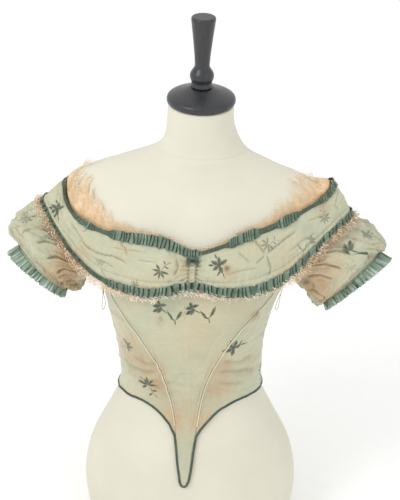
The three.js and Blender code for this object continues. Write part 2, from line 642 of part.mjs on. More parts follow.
// ---------------------------------------------------------------- the sleeves
// Each sleeve runs through four rings: the armhole with the neckline, the ring that leaves the
// bertha, the fullest ring of the puff, and the cuff. u goes round from the underarm by the front.
const ARM_ANGLES = [51, 127]; // the part of the neckline that the sleeve is sewn to
const LAP = 3; // by which the sleeve laps over the bodice at the armhole
const UNDER_CLEAR = BERTHA_WALL + LAY_GAP + 6;
const SLEEVE_TUCK = 2.5; // between the bertha and the sleeve under it
const NEAR_EDGE = 0.05; // where it is sewn under the bertha, as a share of the bertha's height
const share = (angle) => readStraight(neckAngles, neckShares, angle);

function sleeveRings(side) {
  const sign = side === "right" ? 1 : -1;
  const [from, to] = ARM_ANGLES.map((angle) => share(sign > 0 ? angle : 360 - angle));
  const shares = spread(from, to, 8);
  const seamAt = (angle) => {
    const turn = sign * angle;
    return bodice(turn, bodiceTop(turn) - LAP, SLEEVE_WALL + LAY_GAP + 0.3);
  };
  const sewn = shares.map((s) => bertha(s, NEAR_EDGE, -BERTHA_WALL - SLEEVE_TUCK));
  const before = [92, 79, 67, 57].map(seamAt);
  const behind = [124, 116, 105].map(seamAt);
  const half = (a, b) => a.clone().lerp(b, 0.5).multiply(new THREE.Vector3(1.02, 1.06, 1));
  const armhole = [...before, half(before[3], sewn[0]), ...sewn, half(sewn[8], behind[0]), ...behind];
  const under = UNDERARM[side];
  const [front, low, rear] = [0, 1, 2].map(
    (k) => new THREE.Vector3(under.x[k], under.y[k], under.z[k]),
  );
  const hidden = shares.map((s) => bertha(s, 1 + NEAR_EDGE, -UNDER_CLEAR));
  const leave = [low, low.clone().lerp(front, 0.55), front, front.clone().lerp(hidden[0], 0.55)];
  leave.push(...hidden, rear.clone().lerp(hidden[8], 0.55), rear, low.clone().lerp(rear, 0.55));
  return [armhole, leave];
}

function ringPoint(points, u) {
  const at = u * points.length;
  return new THREE.Vector3(
    readRing(points.map((p) => p.x), at),
    readRing(points.map((p) => p.y), at),
    readRing(points.map((p) => p.z), at),
  );
}

// The cuff ring, u from the inner side by the front; down moves it along the arm, grow widens it.
function cuffPoint(side, u, down, grow) {
  const cuff = CUFF[side];
  const outer = new THREE.Vector3(...cuff.outer);
  const front = new THREE.Vector3(...cuff.front);
  const axis = outer.clone().cross(front).normalize();
  if (axis.z > 0) axis.negate();
  const turn = 2 * Math.PI * u;
  return new THREE.Vector3(...cuff.middle)
    .addScaledVector(outer, -Math.cos(turn) * (1 + grow / outer.length()))
    .addScaledVector(front, Math.sin(turn) * (1 + grow / front.length()))
    .addScaledVector(axis, down);
}

const sleeveSurfaces = {};
for (const side of ["right", "left"]) {
  const [armhole, leave] = sleeveRings(side);
  const puff = PUFF[side];
  const fullest = puff.x.map((x, k) => new THREE.Vector3(x, puff.y[k], puff.z[k]));
  sleeveSurfaces[side] = (u, t) => {
    if (t < SLEEVE_HIDDEN)
      return ringPoint(armhole, u).lerp(ringPoint(leave, u), t / SLEEVE_HIDDEN);
    const knots = [ringPoint(leave, u), ringPoint(fullest, u), cuffPoint(side, u, 0, 0)];
    const places = [SLEEVE_HIDDEN, SLEEVE_FULLEST, 1];
    const at = (name) => readTable(places, knots.map((p) => p[name]), t);
    return new THREE.Vector3(at("x"), at("y"), at("z"));
  };
}

const SLEEVE_STEP_U = 0.004; // shares, for the sleeve's normal
const SLEEVE_STEP_T = 0.01;
const sleeveRows = [0, SLEEVE_HIDDEN, 0.4, 0.52, 0.65, 0.78, 0.89, 1];
// Gathers: deep at the cuff and where the puff leaves the bertha, shallow where it is fullest.
function sleevePoint(side, u, t, off) {
  const surface = sleeveSurfaces[side];
  const puffed = 0.6 * Math.exp(-(((t - 0.62) / 0.2) ** 2));
  const ends = smooth((t - 0.34) * 8) * (1 - smooth((t - 0.9) * 8));
  const fold = -FOLD_DEPTH * ends * (1 - puffed) * wave(u, SLEEVE_FOLDS);
  const sign = side === "right" ? -1 : 1;
  return moveOut(surface, u, t, sign * (off + fold), SLEEVE_STEP_U, SLEEVE_STEP_T);
}

for (const [name, side] of [["r", "right"], ["l", "left"]]) {
  addSheet(`sleeve_${name}`, "silk", round(PLEAT_STEPS * SLEEVE_FOLDS), sleeveRows,
    (u, t, face) => sleevePoint(side, u, t, face ? -SLEEVE_WALL : 0), true);
  addSheet(`cuff_band_${name}`, "silk", round(28), [0, 1],
    (u, v, face) => cuffPoint(side, u, CUFF_EASE + CUFF_BAND * v, face ? -SLEEVE_WALL : 0), true);
  addFrill(`cuff_frill_${name}`, CUFF_PLEATS, [0, 1], CUFF_LIFT, (u, v, off) => {
    const length = CUFF_FRILL + CUFF_DROP * wave(u, 1) ** 2;
    return cuffPoint(side, u, CUFF_LAP + length * v, off + CUFF_FLARE * v);
  });
}

export default dressedForm;
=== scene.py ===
import functools
import math

import bpy
import numpy as np
from mathutils import Matrix, Vector


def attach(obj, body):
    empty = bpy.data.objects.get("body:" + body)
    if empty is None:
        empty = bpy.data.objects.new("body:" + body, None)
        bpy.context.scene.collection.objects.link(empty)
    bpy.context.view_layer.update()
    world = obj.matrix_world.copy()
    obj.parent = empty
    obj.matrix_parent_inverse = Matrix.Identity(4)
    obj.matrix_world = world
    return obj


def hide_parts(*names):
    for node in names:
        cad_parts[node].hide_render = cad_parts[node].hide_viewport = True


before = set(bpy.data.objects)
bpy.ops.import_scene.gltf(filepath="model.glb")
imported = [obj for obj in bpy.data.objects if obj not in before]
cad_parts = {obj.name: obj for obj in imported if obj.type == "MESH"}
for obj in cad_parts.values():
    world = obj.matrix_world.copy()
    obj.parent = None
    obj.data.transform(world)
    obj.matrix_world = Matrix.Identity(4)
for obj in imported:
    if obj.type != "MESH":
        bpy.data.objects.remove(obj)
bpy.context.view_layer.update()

# An off-the-shoulder silk evening bodice on its dress form. Shapes are worked out in millimetres, in
# the part's own frame, and a mesh gets metres. The front faces -Y, and +X is to the right.
MM = 0.001

# ---------------------------------------------------------------- camera
TARGET = (5.0, 0.0, 440.0)  # what the middle of the picture shows
DISTANCE = 2600.0
ELEVATION = 28.0  # degrees, as the next two
AZIMUTH = 2.5
ROLL = 1.8
SENSOR = 36.0  # mm along the picture's longer side, its height
LENS = 131.8
CLIP_METRES = (0.05, 50)


def aim_camera():
    """A camera on a line from the target, turned by the azimuth and raised by the elevation.

    The camera is then rolled about its own line of sight.
    """
    e, a, r = (math.radians(v) for v in (ELEVATION, AZIMUTH, ROLL))
    back = Vector((math.sin(a) * math.cos(e), -math.cos(a) * math.cos(e), math.sin(e)))
    right = Vector((0, 0, 1)).cross(back).normalized()
    up = back.cross(right)
    across = right * math.cos(r) + up * math.sin(r)
    upward = up * math.cos(r) - right * math.sin(r)
    data = bpy.data.cameras.new("camera")
    data.sensor_width = SENSOR
    data.lens = LENS
    data.clip_start, data.clip_end = CLIP_METRES
    camera = bpy.data.objects.new("camera", data)
    place = (Vector(TARGET) + back * DISTANCE) * MM
    camera.matrix_world = Matrix.Translation(place) @ Matrix((across, upward, back)).transposed().to_4x4()
    bpy.context.scene.collection.objects.link(camera)
    bpy.context.scene.camera = camera


aim_camera()

# ---------------------------------------------------------------- sizes shared with the solids, mm
BODICE_WALL = 1.6
BODICE_CLEAR = 1.9  # from the form to the bodice's inner face
BERTHA_WALL = 1.6
SLEEVE_WALL = 1.4
FRILL_WALL = 0.6
LACE_WALL = 0.5
SEAM_GAP = 0.3
LAY_GAP = 0.4  # between cloths that lie on each other
FRILL_GAP = 0.65
NECK_STAND = 1.1  # how much further off the form the bodice stands at its neckline
NECK_TAPER = 46  # the height over which it comes away so
HEM_PIPING_R = 1.5
SEAM_PIPING_R = 0.9
CAP_Z = 666.4

# Sections of the form from its base to its neck: half width, depth in front and behind, the
# superellipse's power, and how far back and aside the section's middle lies.
FORM = {
    "z": [0, 60, 120, 180, 225, 265, 305, 345, 380, 410, 435, 458, 482, 508, 530, 547, 559, 568,
          577, 585, 594, 605, 620, 640, 666],
    "half": [150, 158, 148, 120, 101, 100, 104, 112, 121, 132, 145, 159, 170, 176, 176, 170, 151,
             127, 106, 85, 68, 57, 50, 46, 45],
    "front": [96, 102, 99, 86, 77, 82, 90, 97, 102, 104, 103, 99, 93, 84, 74, 65, 58, 54, 51, 49,
              48, 46, 45, 45, 45],
    "rear": [116, 120, 108, 88, 76, 78, 82, 87, 91, 94, 95, 94, 91, 85, 78, 70, 62, 57, 53, 51, 49,
             47, 46, 45, 45],
    "power": [2.1, 2.1, 2.1, 2.1, 2.1, 2.1, 2.1, 2.1, 2.1, 2.05, 2, 1.95, 1.9, 1.85, 1.8, 1.8, 1.8,
              1.8, 1.85, 1.9, 1.95, 2, 2, 2, 2],
    "back": [0, 0, 0, 0, 0, 0, 0, 0, 0, 0, 1, 2, 4, 6, 8, 9, 9, 8, 7, 6, 5, 5, 5, 5, 5],
    "lean": [0, 0, 0, -1, -2, -4, -6, -7, -6, -4, -2, 0, 0, 0, 0, -2, -5, -5, -3, -1, 2, 3, 2, 0,
             0],
}
# The centre panel's two edges, by height: angles in degrees from the front.
FRONT_EDGE = {
    "z": [105, 112, 121, 140, 163, 186, 200, 225, 245, 270, 300, 325, 350, 375, 395, 410, 440, 520],
    "left": [-1.8, -2.5, -3, -4.2, -5.6, -7.5, -8.9, -12, -14.3, -17, -22, -29, -38, -50, -59,
             -61.5, -61.5, -60],
    "right": [-0.5, 0.3, 0.9, 1.8, 3, 5, 6.5, 9, 11.4, 15, 21, 27.5, 35, 45, 55, 60, 61.5, 60],
}
HEM = {
    "angle": [-180, -135, -95, -60, -40, -28, -18.7, -12, -7.5, 5, 8, 12, 18, 24, 35, 50, 86, 135,
              180],
    "z": [224, 218, 216, 222, 225, 220, 210, 198, 186, 186, 193, 202, 213, 221, 229, 233, 229, 226,
          224],
}
BACK_SEAM = {"z": [200, 300, 380, 440, 520], "angle": [158, 155, 148, 139, 128]}
ARMHOLE = {
    "angle": [42, 53, 61.5, 70, 80, 92, 104, 114, 124, 136],
    "z": [492, 467, 443, 431, 423, 420, 424, 434, 456, 496],
}
# Stations round the bertha from the centre front by +X: the upper edge's angle, height and distance
# off the form, and the lower edge's place.
BERTHA = {
    "angle": [0, 14, 25, 36, 46, 61, 79, 94, 107, 123, 140, 160, 180, 200, 220, 237, 253, 268, 274,
              289, 303, 315, 328, 345],
    "z": [483, 493, 505, 513, 520.5, 531, 538, 542, 537, 526, 512, 503, 499, 501, 506, 518, 532,
          531, 514, 500, 496, 494, 494.5, 494.5],
    "off": [7.1, 7.1, 7.1, 7.1, 7.1, 7.7, 11.5, 18, 14, 8.4, 7.1, 7.1, 7.1, 7.1, 7.1, 7.7, 10.7,
            12.7, 10.7, 7.7, 7.1, 7.1, 7.1, 7.1],
    "low_x": [0, 42, 82, 112, 137, 167, 192, 213, 206, 170, 118, 60, 0, -60, -118, -168, -205,
              -219, -210, -195, -169, -134, -96, -50],
    "low_y": [-121, -118, -106, -90, -72, -47, -28, 0, 36, 72, 100, 115, 119, 115, 100, 74, 38, 4,
              -12, -26, -47, -71, -98, -118],
    "low_z": [446, 438, 436, 442, 453, 476, 498, 507, 499, 474, 451, 441, 438, 439, 447, 467, 495,
              505, 492, 475, 449, 429, 427, 431],
}
BERTHA_BULGE = 3.5
BORDER_AT = 0.8  # share of the bertha's height where its border begins
BORDER_STEP = 1.0
NOTCH_DEPTH = 5  # how far the bertha is pulled in at the centre front
NOTCH_WIDTH = 0.011  # as a share of the way round

# How high the neck lace stands, by share of the way round.
LACE_RISE = {
    "share": [0, 0.04, 0.08, 0.12, 0.16, 0.2, 0.22, 0.24, 0.26, 0.28, 0.32, 0.4, 0.5, 0.6, 0.68,
              0.7, 0.72, 0.74, 0.76, 0.78, 0.8, 0.84, 0.88, 0.92, 0.96, 1],
    "rise": [5, 6, 9, 14, 20, 26, 25, 21, 18, 15, 10, 7, 7, 7, 10, 17, 28, 38, 44, 42, 36, 24, 18,
             13, 8, 5],
}
# The sleeves' fullest rings: x, y and z of eight points each.
PUFF = {
    "right": [[171, 189, 216, 243, 267, 246, 215, 186], [-6, -51, -59, -40, 2, 46, 58, 42],
              [366, 404, 449, 474, 461, 470, 436, 398]],
    "left": [[-168, -188, -215, -247, -269, -248, -215, -183], [-6, -46, -57, -39, 2, 46, 58, 42],
             [368, 406, 444, 476, 459, 470, 436, 395]],
}
# Where each sleeve leaves the body under the arm: in front, lowest, behind.
UNDERARM = {
    "right": [(150, -46, 413), (156, 0, 396), (147, 50, 424)],
    "left": [(-148, -44, 413), (-154, 0, 397), (-146, 50, 423)],
}
# The cuffs, as ellipses: the middle and two half axes.
CUFF = {
    "right": {"middle": (220.5, -2.5, 412), "outer": (36.5, 2.5, 40), "front": (-3, -41, 13)},
    "left": {"middle": (-217.5, -2.5, 402.5), "outer": (-33.5, 2.5, 30.5), "front": (4, -41, 10)},
}
CUFF_BAND = 7
CUFF_FRILL = 10
CUFF_DROP = 8
CUFF_FLARE = 2.5


# ---------------------------------------------------------------- reading tables
def hermite(a, b, slope_a, slope_b, t, h):
    """Cubic from a to b over a step of length h, with a slope at each end, at a share t of the step."""
    return ((2 * t**3 - 3 * t**2 + 1) * a + (t**3 - 2 * t**2 + t) * h * slope_a
            + (3 * t**2 - 2 * t**3) * b + (t**3 - t**2) * h * slope_b)


def read_table(keys, values, key):
    """Cubic through the rows of a column; the slope at a row is taken over its two neighbours."""
    keys, values, key = (np.asarray(v, float) for v in (keys, values, key))
    rows = np.arange(len(keys))
    low, high = np.maximum(rows - 1, 0), np.minimum(rows + 1, len(keys) - 1)
    slope = (values[high] - values[low]) / (keys[high] - keys[low])
    i = np.searchsorted(keys[1:-1], key, side="left")
    h = keys[i + 1] - keys[i]
    return hermite(values[i], values[i + 1], slope[i], slope[i + 1], (key - keys[i]) / h, h)


def read_ring(values, at):
    """Catmull-Rom curve through a closed column, by a position counted in rows."""
    values = np.asarray(values, float)
    n = len(values)
    i = np.floor(at).astype(int)
    t = at - i
    a, b, c, d = (values[(i + k) % n] for k in (-1, 0, 1, 2))
    return 0.5 * (2 * b + (c - a) * t + (2 * a - 5 * b + 4 * c - d) * t**2
                  + (3 * b - a - 3 * c + d) * t**3)


def smooth(t):
    """Rises from 0 to 1 as t does, level at both ends."""
    t = np.clip(t, 0, 1)
    return t * t * (3 - 2 * t)


def bell(t):
    """1 at 0, falling off to both sides as a Gaussian does."""
    return np.exp(-(t**2))


def ripple(turns):
    """From 0 up to 1 and back once in each whole turn, as a cosine does."""
    return 0.5 - 0.5 * np.cos(2 * np.pi * turns)


def even(count):
    return np.linspace(0, 1, count)


def mix(a, b, t):
    """From a to b by a share t."""
    return a + (b - a) * t


def points(x, y, z):
    return np.stack(np.broadcast_arrays(x, y, z), axis=-1).astype(float)


def unit(v):
    return v / np.linalg.norm(v, axis=-1, keepdims=True)


def move_out(surface, u, v, off, step_u, step_v):
    """Point of a surface moved along its normal, which is the cross product of its two slopes."""
    across = surface(u + step_u, v) - surface(u - step_u, v)
    along = surface(u, v + step_v) - surface(u, v - step_v)
    return surface(u, v) + unit(np.cross(across, along)) * np.asarray(off)[..., None]


def uneven(turn, seed, low, high, count=7):
    """Smooth unevenness round a ring, about -1 to 1.

    It is a sum of sines with whole numbers of waves from low to high and seeded phases.
    """
    rng = np.random.default_rng(seed)
    waves = rng.integers(low, high + 1, count)
    phases = rng.uniform(0, 2 * np.pi, count)
    turn = np.asarray(turn)[..., None]
    return np.sin(2 * np.pi * turn * waves + phases).sum(-1) / np.sqrt(count / 2) / 1.6


def crumple(x, y, seed, size, count=14):
    """Small soft wrinkles, about -1 to 1.

    Sines across seeded directions, with wavelengths near size, each bent by the one before.
    """
    rng = np.random.default_rng(seed)
    total = 0
    bend = 0
    for _ in range(count):
        turn = rng.uniform(0, np.pi)
        length = size * rng.uniform(0.6, 1.7)
        phase = rng.uniform(0, 2 * np.pi)
        wave = np.sin(2 * np.pi * (x * np.cos(turn) + y * np.sin(turn)) / length + phase + bend)
        total = total + wave
        bend = 0.7 * wave
    return total / np.sqrt(count) / 1.2


# ---------------------------------------------------------------- the surfaces of the solids
def form_point(angle, z):
    """Point of a superellipse section at a height.

    Half width times the sine and depth times the cosine, each to 2 over the section's power.
    """
    angle, z = np.broadcast_arrays(np.asarray(angle, float), np.asarray(z, float))
    sine, cosine = np.sin(np.radians(angle)), np.cos(np.radians(angle))
    column = {name: read_table(FORM["z"], FORM[name], z) for name in FORM if name != "z"}
    depth = np.where(cosine > 0, column["front"], column["rear"])
    bend = 2 / column["power"]
    return points(column["lean"] + column["half"] * np.sign(sine) * np.abs(sine) ** bend,
                  column["back"] - depth * np.sign(cosine) * np.abs(cosine) ** bend, z)


def off_form(angle, z, off):
    """The form's face, moved out along its normal."""
    return move_out(form_point, angle, z, off, 0.1, 0.5)


STATIONS = len(BERTHA["angle"])


def station_angle(at):
    """Angle at a station by a cubic through the table, counted on past a whole turn."""
    turns = np.floor(at / STATIONS)
    keys = np.arange(-1, STATIONS + 2)
    angles = BERTHA["angle"]
    values = [angles[-1] - 360, *angles, 360, 360 + angles[1]]
    return read_table(keys, values, at - turns * STATIONS) + 360 * turns


def bertha_edges(at):
    """Upper edge of the bertha, which stands off the form, and its lower edge, at a station."""
    upper = off_form(station_angle(at), read_ring(BERTHA["z"], at), read_ring(BERTHA["off"], at))
    lower = points(*(read_ring(BERTHA[name], at) for name in ("low_x", "low_y", "low_z")))
    return upper, lower


ring_at = np.linspace(0, STATIONS, 481)
ring_middle = sum(bertha_edges(ring_at)) / 2
ring_length = np.concatenate([[0], np.cumsum(np.linalg.norm(np.diff(ring_middle, axis=0), axis=1))])
RING_LENGTH = ring_length[-1]
neck_angles = station_angle(ring_at)
neck_angles[-1] = 360
neck_heights = read_ring(BERTHA["z"], ring_at)


def station_at(s):
    """Station at a share of the way round the bertha's middle line, 0 at the centre front."""
    turns = np.floor(s)
    return np.interp((s - turns) * RING_LENGTH, ring_length, ring_at) + turns * STATIONS


def bertha_base(s, v):
    """Straight from the bertha's upper edge at v 0 to its lower edge at v 1."""
    upper, lower = bertha_edges(station_at(s))
    return mix(upper, lower, np.asarray(v)[..., None])


def from_centre(s):
    """Share of the way round, from -0.5 to 0.5 with the centre front at 0."""
    return s - np.round(s)


def bertha(s, v, off):
    """Outer face of the bertha: straight from edge to edge and swelled between them.

    Its border stands out, and the centre front is pulled in.
    """
    s, v = np.broadcast_arrays(np.asarray(s, float), np.asarray(v, float))
    inside = np.clip(v, 0, 1)
    notch = NOTCH_DEPTH * bell(from_centre(s) / NOTCH_WIDTH) * smooth(v * 3)
    border = BORDER_STEP * smooth((v - BORDER_AT) * 16)
    swell = BERTHA_BULGE * 4 * inside * (1 - inside) + border - notch
    return move_out(lambda a, b: bertha_base(a, 1 - b), s, 1 - v, off + swell, 0.004, 0.02)


def neck_height(angle):
    """Height of the neckline, straight between the points of its ring."""
    return np.interp(np.mod(angle, 360), neck_angles, neck_heights)


def bodice_top(angle):
    """Upper edge of the bodice: the neckline in front and behind, the armhole at the sides."""
    turn = np.abs(np.mod(angle + 180, 360) - 180)
    armhole = smooth((turn - 43) / 9) * smooth((135 - turn) / 9)
    return mix(neck_height(angle) - 1.5, read_table(ARMHOLE["angle"], ARMHOLE["z"], turn), armhole)


def bodice(angle, z, off):
    """The form's face moved out by clearance and wall, and a little more at the neckline."""
    stand = NECK_STAND * smooth((z - neck_height(angle) + NECK_TAPER) / (NECK_TAPER - 2))
    return off_form(angle, z, BODICE_CLEAR + BODICE_WALL + stand + off)


def ring_point(ring, u):
    """Point of a closed ring: a Catmull-Rom curve through its rows in each coordinate."""
    return points(*(read_ring(ring[:, k], u * len(ring)) for k in range(3)))


def cuff_point(side, u, down, grow):
    """Ellipse of the cuff, u from the inner side by the front.

    Down moves it along the arm and grow widens it.
    """
    cuff = CUFF[side]
    outer, front = (np.array(cuff[name], float) for name in ("outer", "front"))
    axis = unit(np.cross(outer, front))
    axis = -axis if axis[2] > 0 else axis
    turn = 2 * np.pi * np.asarray(u)
    wide = -np.cos(turn) * (1 + grow / np.linalg.norm(outer))
    deep = np.sin(turn) * (1 + grow / np.linalg.norm(front))
    return (np.array(cuff["middle"]) + wide[..., None] * outer + deep[..., None] * front
            + np.asarray(down)[..., None] * axis)


ARM_ANGLES = (51, 127)
LAP = 3  # how far the armhole's edge laps over the sleeve
UNDER_CLEAR = BERTHA_WALL + LAY_GAP + 6
SLEEVE_TUCK = 2.5
SLEEVE_HIDDEN = 0.3  # share of the sleeve's length that the bertha covers
FULLEST = 0.7  # share of its length where the sleeve is fullest


def sleeve_rings(side):
    """The ring sewn to the armhole and under the neckline, and the ring that leaves the bertha."""
    sign = 1 if side == "right" else -1
    turns = [a if sign > 0 else 360 - a for a in ARM_ANGLES]
    shares = np.linspace(*np.interp(turns, neck_angles, ring_length / RING_LENGTH), 9)

    def seam_at(angles):
        turn = sign * np.array(angles, float)
        return bodice(turn, bodice_top(turn) - LAP, SLEEVE_WALL + LAY_GAP + 0.3)

    sewn = bertha(shares, np.full(9, 0.05), -BERTHA_WALL - SLEEVE_TUCK)
    before, behind = seam_at([92, 79, 67, 57]), seam_at([124, 116, 105])
    bow = np.array([1.02, 1.06, 1])
    armhole = np.vstack([before, (before[3] + sewn[0]) / 2 * bow, sewn, (sewn[8] + behind[0]) / 2 * bow,
                         behind])
    front, low, rear = (np.array(p, float) for p in UNDERARM[side])
    hidden = bertha(shares, np.full(9, 1.05), -UNDER_CLEAR)
    leave = np.vstack([low, mix(low, front, 0.55), front, mix(front, hidden[0], 0.55), hidden,
                       mix(rear, hidden[8], 0.55), rear, mix(low, rear, 0.55)])
    return armhole, leave


SLEEVE_RINGS = {side: sleeve_rings(side) for side in ("right", "left")}


def sleeve_surface(side, u, t):
    """From the armhole straight to the ring that leaves the bertha, then by cubics to the cuff.

    The cubics meet at the fullest ring.
    """
    u, t = np.broadcast_arrays(np.asarray(u, float), np.asarray(t, float))
    armhole, leave = SLEEVE_RINGS[side]
    a, b = ring_point(armhole, u), ring_point(leave, u)
    c = ring_point(np.array(PUFF[side], float).T, u)
    d = cuff_point(side, u, np.zeros_like(u), 0)
    t3 = t[..., None]
    early, late = FULLEST - SLEEVE_HIDDEN, 1 - FULLEST
    start, middle, end = (c - b) / early, (d - b) / (early + late), (d - c) / late
    under = mix(a, b, t3 / SLEEVE_HIDDEN)
    puff = hermite(b, c, start, middle, (t3 - SLEEVE_HIDDEN) / early, early)
    close = hermite(c, d, middle, end, (t3 - FULLEST) / late, late)
    return np.where(t3 < SLEEVE_HIDDEN, under, np.where(t3 <= FULLEST, puff, close))


def sleeve(side, u, t, off):
    """The sleeve's surface, moved out along its normal."""
    sign = -1 if side == "right" else 1
    return move_out(lambda a, b: sleeve_surface(side, a, b), u, t, sign * off, 0.004, 0.01)


# ---------------------------------------------------------------- meshes
def grid_faces(rows, columns, closed=False):
    """Corner numbers of the quads between neighbouring rows and columns.

    A closed grid joins its last column to its first.
    """
    i, j = np.meshgrid(np.arange(columns if closed else columns - 1), np.arange(rows - 1))
    i, j, after = i.ravel(), j.ravel(), ((i + 1) % columns).ravel()
    low, high = j * columns, (j + 1) * columns
    return np.stack([low + i, low + after, high + after, high + i], axis=-1)


def shell_faces(rows, columns, closed=False):
    """An outer and an inner grid back to back, joined by a strip of quads round each open edge."""
    size = rows * columns
    outer = grid_faces(rows, columns, closed)
    i = np.arange(columns if closed else columns - 1)
    after = (i + 1) % columns
    top = (rows - 1) * columns
    strips = [outer, outer[:, ::-1] + size,
              np.stack([i, i + size, after + size, after], -1),
              np.stack([top + i, top + after, top + after + size, top + i + size], -1)]
    if not closed:
        j = np.arange(rows - 1) * columns
        up, end = j + columns, j + columns - 1
        strips.append(np.stack([j, up, up + size, j + size], -1))
        strips.append(np.stack([end, end + size, up + columns - 1 + size, up + columns - 1], -1))
    return np.vstack(strips)


def end_caps(rows, columns):
    """Quads that close the first and the last ring of a closed grid, across from side to side."""
    k = np.arange(1, columns // 2)
    cap = np.stack([k - 1, k, columns - 1 - k, columns - k], -1)
    return np.vstack([cap[:, ::-1], cap + (rows - 1) * columns])


def outward(corners, faces):
    """Turns all faces round if the volume they close, a sum of corner triple products, is negative."""
    p = corners - corners.mean(0)
    volume = 0
    for k in range(1, faces.shape[1] - 1):
        a, b, c = p[faces[:, 0]], p[faces[:, k]], p[faces[:, k + 1]]
        volume += np.einsum("ij,ij->i", a, np.cross(b, c)).sum()
    return faces if volume > 0 else faces[:, ::-1]


def add_piece(name, corners, faces, finish, slot, stands_for=(), values=None):
    """A mesh of quads in metres, shaded smooth, with its vector attributes; it rides on the one body."""
    faces = outward(corners, faces)
    mesh = bpy.data.meshes.new(name)
    mesh.vertices.add(len(corners))
    mesh.vertices.foreach_set("co", (corners * MM).astype(np.float32).ravel())
    mesh.loops.add(faces.size)
    mesh.loops.foreach_set("vertex_index", faces.astype(np.int32).ravel())
    mesh.polygons.add(len(faces))
    mesh.polygons.foreach_set("loop_start", np.arange(0, faces.size, faces.shape[1], dtype=np.int32))
    mesh.update(calc_edges=True)
    mesh.validate()
    mesh.polygons.foreach_set("use_smooth", np.ones(len(mesh.polygons), bool))
    for key, value in (values or {}).items():
        layer = mesh.attributes.new(key, "FLOAT_VECTOR", "POINT")
        layer.data.foreach_set("vector", value.astype(np.float32).ravel())
    mesh.materials.append(finish)
    piece = bpy.data.objects.new(name, mesh)
    bpy.context.scene.collection.objects.link(piece)
    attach(piece, "root")
    if stands_for:
        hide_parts(*stands_for)
    return piece


def lengths(grid):
    """Distances in mm along both ways of a grid: across within each row, and along each column."""
    across = np.zeros(grid.shape[:2])
    across[:, 1:] = np.cumsum(np.linalg.norm(np.diff(grid, axis=1), axis=-1), axis=1)
    along = np.zeros(grid.shape[:2])
    along[1:] = np.cumsum(np.linalg.norm(np.diff(grid, axis=0), axis=-1), axis=0)
    return across, along


def flat_size(grid):
    """Two sides in metres: the mean length of the grid's columns, and its area divided by that.

    Pleats and waves count as they are drawn, so the second side is longer than the sewn edge.
    """
    a, b = grid[:-1, 1:] - grid[:-1, :-1], grid[1:, :-1] - grid[:-1, :-1]
    c, d = grid[:-1, 1:] - grid[1:, 1:], grid[1:, :-1] - grid[1:, 1:]
    area = (np.linalg.norm(np.cross(a, b), axis=-1) + np.linalg.norm(np.cross(c, d), axis=-1)).sum() / 2
    wide = lengths(grid)[1][-1].mean()
    return wide * MM, area / wide * MM


SHEETS = []


def add_cloth(name, place, us, vs, wall, finish, slot, stands_for=(), closed=False, held="draped",
              rests_on=("dress_form",), tones=None, sprigs=(), stains=(), shade=None):
    """A sheet with thickness: place(u, v, off) on a grid, once for its outer face, once a wall in.

    Its thread attribute holds mm across, mm along and how much painted shade lies there.
    """
    u, v = np.meshgrid(us, vs)
    outer = place(u, v, np.zeros_like(u))
    inner = place(u, v, np.full_like(u, -wall))
    across, along = lengths(outer)
    flat = outer.reshape(-1, 3)
    tone = np.zeros_like(flat) if tones is None else tones(u, v).reshape(-1, 3)
    for middle, radius, peach, brown in stains:
        amount = bell(np.linalg.norm(flat - middle, axis=-1) / radius)
        tone[:, 1] += peach * amount
        tone[:, 2] += brown * amount
    thread = points(across, along, 0 * u if shade is None else np.clip(shade(u, v), 0, 1)).reshape(-1, 3)
    values = {"thread": thread, "tone": tone, "sprig": sprig_places(flat, sprigs, tone)}
    values = {key: np.vstack([value, value]) for key, value in values.items()}
    corners = np.vstack([flat, inner.reshape(-1, 3)])
    faces = shell_faces(len(vs), len(us), closed)
    piece = add_piece(name, corners, faces, finish, slot, stands_for, values)
    width, length = flat_size(np.concatenate([outer, outer[:, :1]], axis=1) if closed else outer)
    SHEETS.append((piece, width, length, held, rests_on))
    return piece


SPRIG_REACH = 27.0  # mm; no sprig is larger
SPRIG_FADE = 5.0  # mm over which a sprig fades at its reach, and where another one is as near


def sprig_places(flat, sprigs, tone):
    """Each point's place in mm on its nearest sprig's own two axes, and that sprig's kind.

    The tone's first column gets the sprig's strength.
    """
    out = np.zeros_like(flat)
    if not len(sprigs):
        return out
    middle, right, up, kind, strength, size = (np.array(column, float) for column in zip(*sprigs))
    apart = np.linalg.norm(flat[:, None] - middle[None], axis=-1)
    near, rows = apart.argmin(1), np.arange(len(flat))
    closest = apart[rows, near]
    second = np.partition(apart, 1, axis=1)[:, 1] if len(sprigs) > 1 else closest + SPRIG_REACH
    away = flat - middle[near]
    out[:, 0] = np.einsum("ij,ij->i", away, right[near]) / size[near]
    out[:, 1] = np.einsum("ij,ij->i", away, up[near]) / size[near]
    out[:, 2] = kind[near]
    fade = smooth((SPRIG_REACH - closest) / SPRIG_FADE) * smooth((second - closest) / SPRIG_FADE)
    tone[:, 0] = strength[near] * fade
    return out


def sprigs_on(place, rows, step_u, step_v):
    """Sprigs on a surface: rows of u, v, turn in degrees, size, kind, strength.

    The axes lie in the surface, turned from its own across direction.
    """
    made = []
    for u, v, turn, size, kind, strength in rows:
        u, v, off = np.array(float(u)), np.array(float(v)), np.array(0.0)
        across = unit(place(u + step_u, v, off) - place(u - step_u, v, off))
        along = place(u, v + step_v, off) - place(u, v - step_v, off)
        along = unit(along - across * (across @ along))
        c, s = math.cos(math.radians(turn)), math.sin(math.radians(turn))
        right, up = across * c + along * s, along * c - across * s
        made.append((place(u, v, off), right, up, kind, strength, size))
    return made


def stains_on(place, rows):
    """Stains on a surface: rows of u, v, radius in mm, peach, brown."""
    return [(place(np.array(float(u)), np.array(float(v)), np.array(0.0)), radius, peach, brown)
            for u, v, radius, peach, brown in rows]


def in_mm(rows, across, along):
    """Rows of creases with their runs' points turned into mm."""
    return [(depth, width, *((u * across, v * along) for u, v in run)) for depth, width, *run in rows]


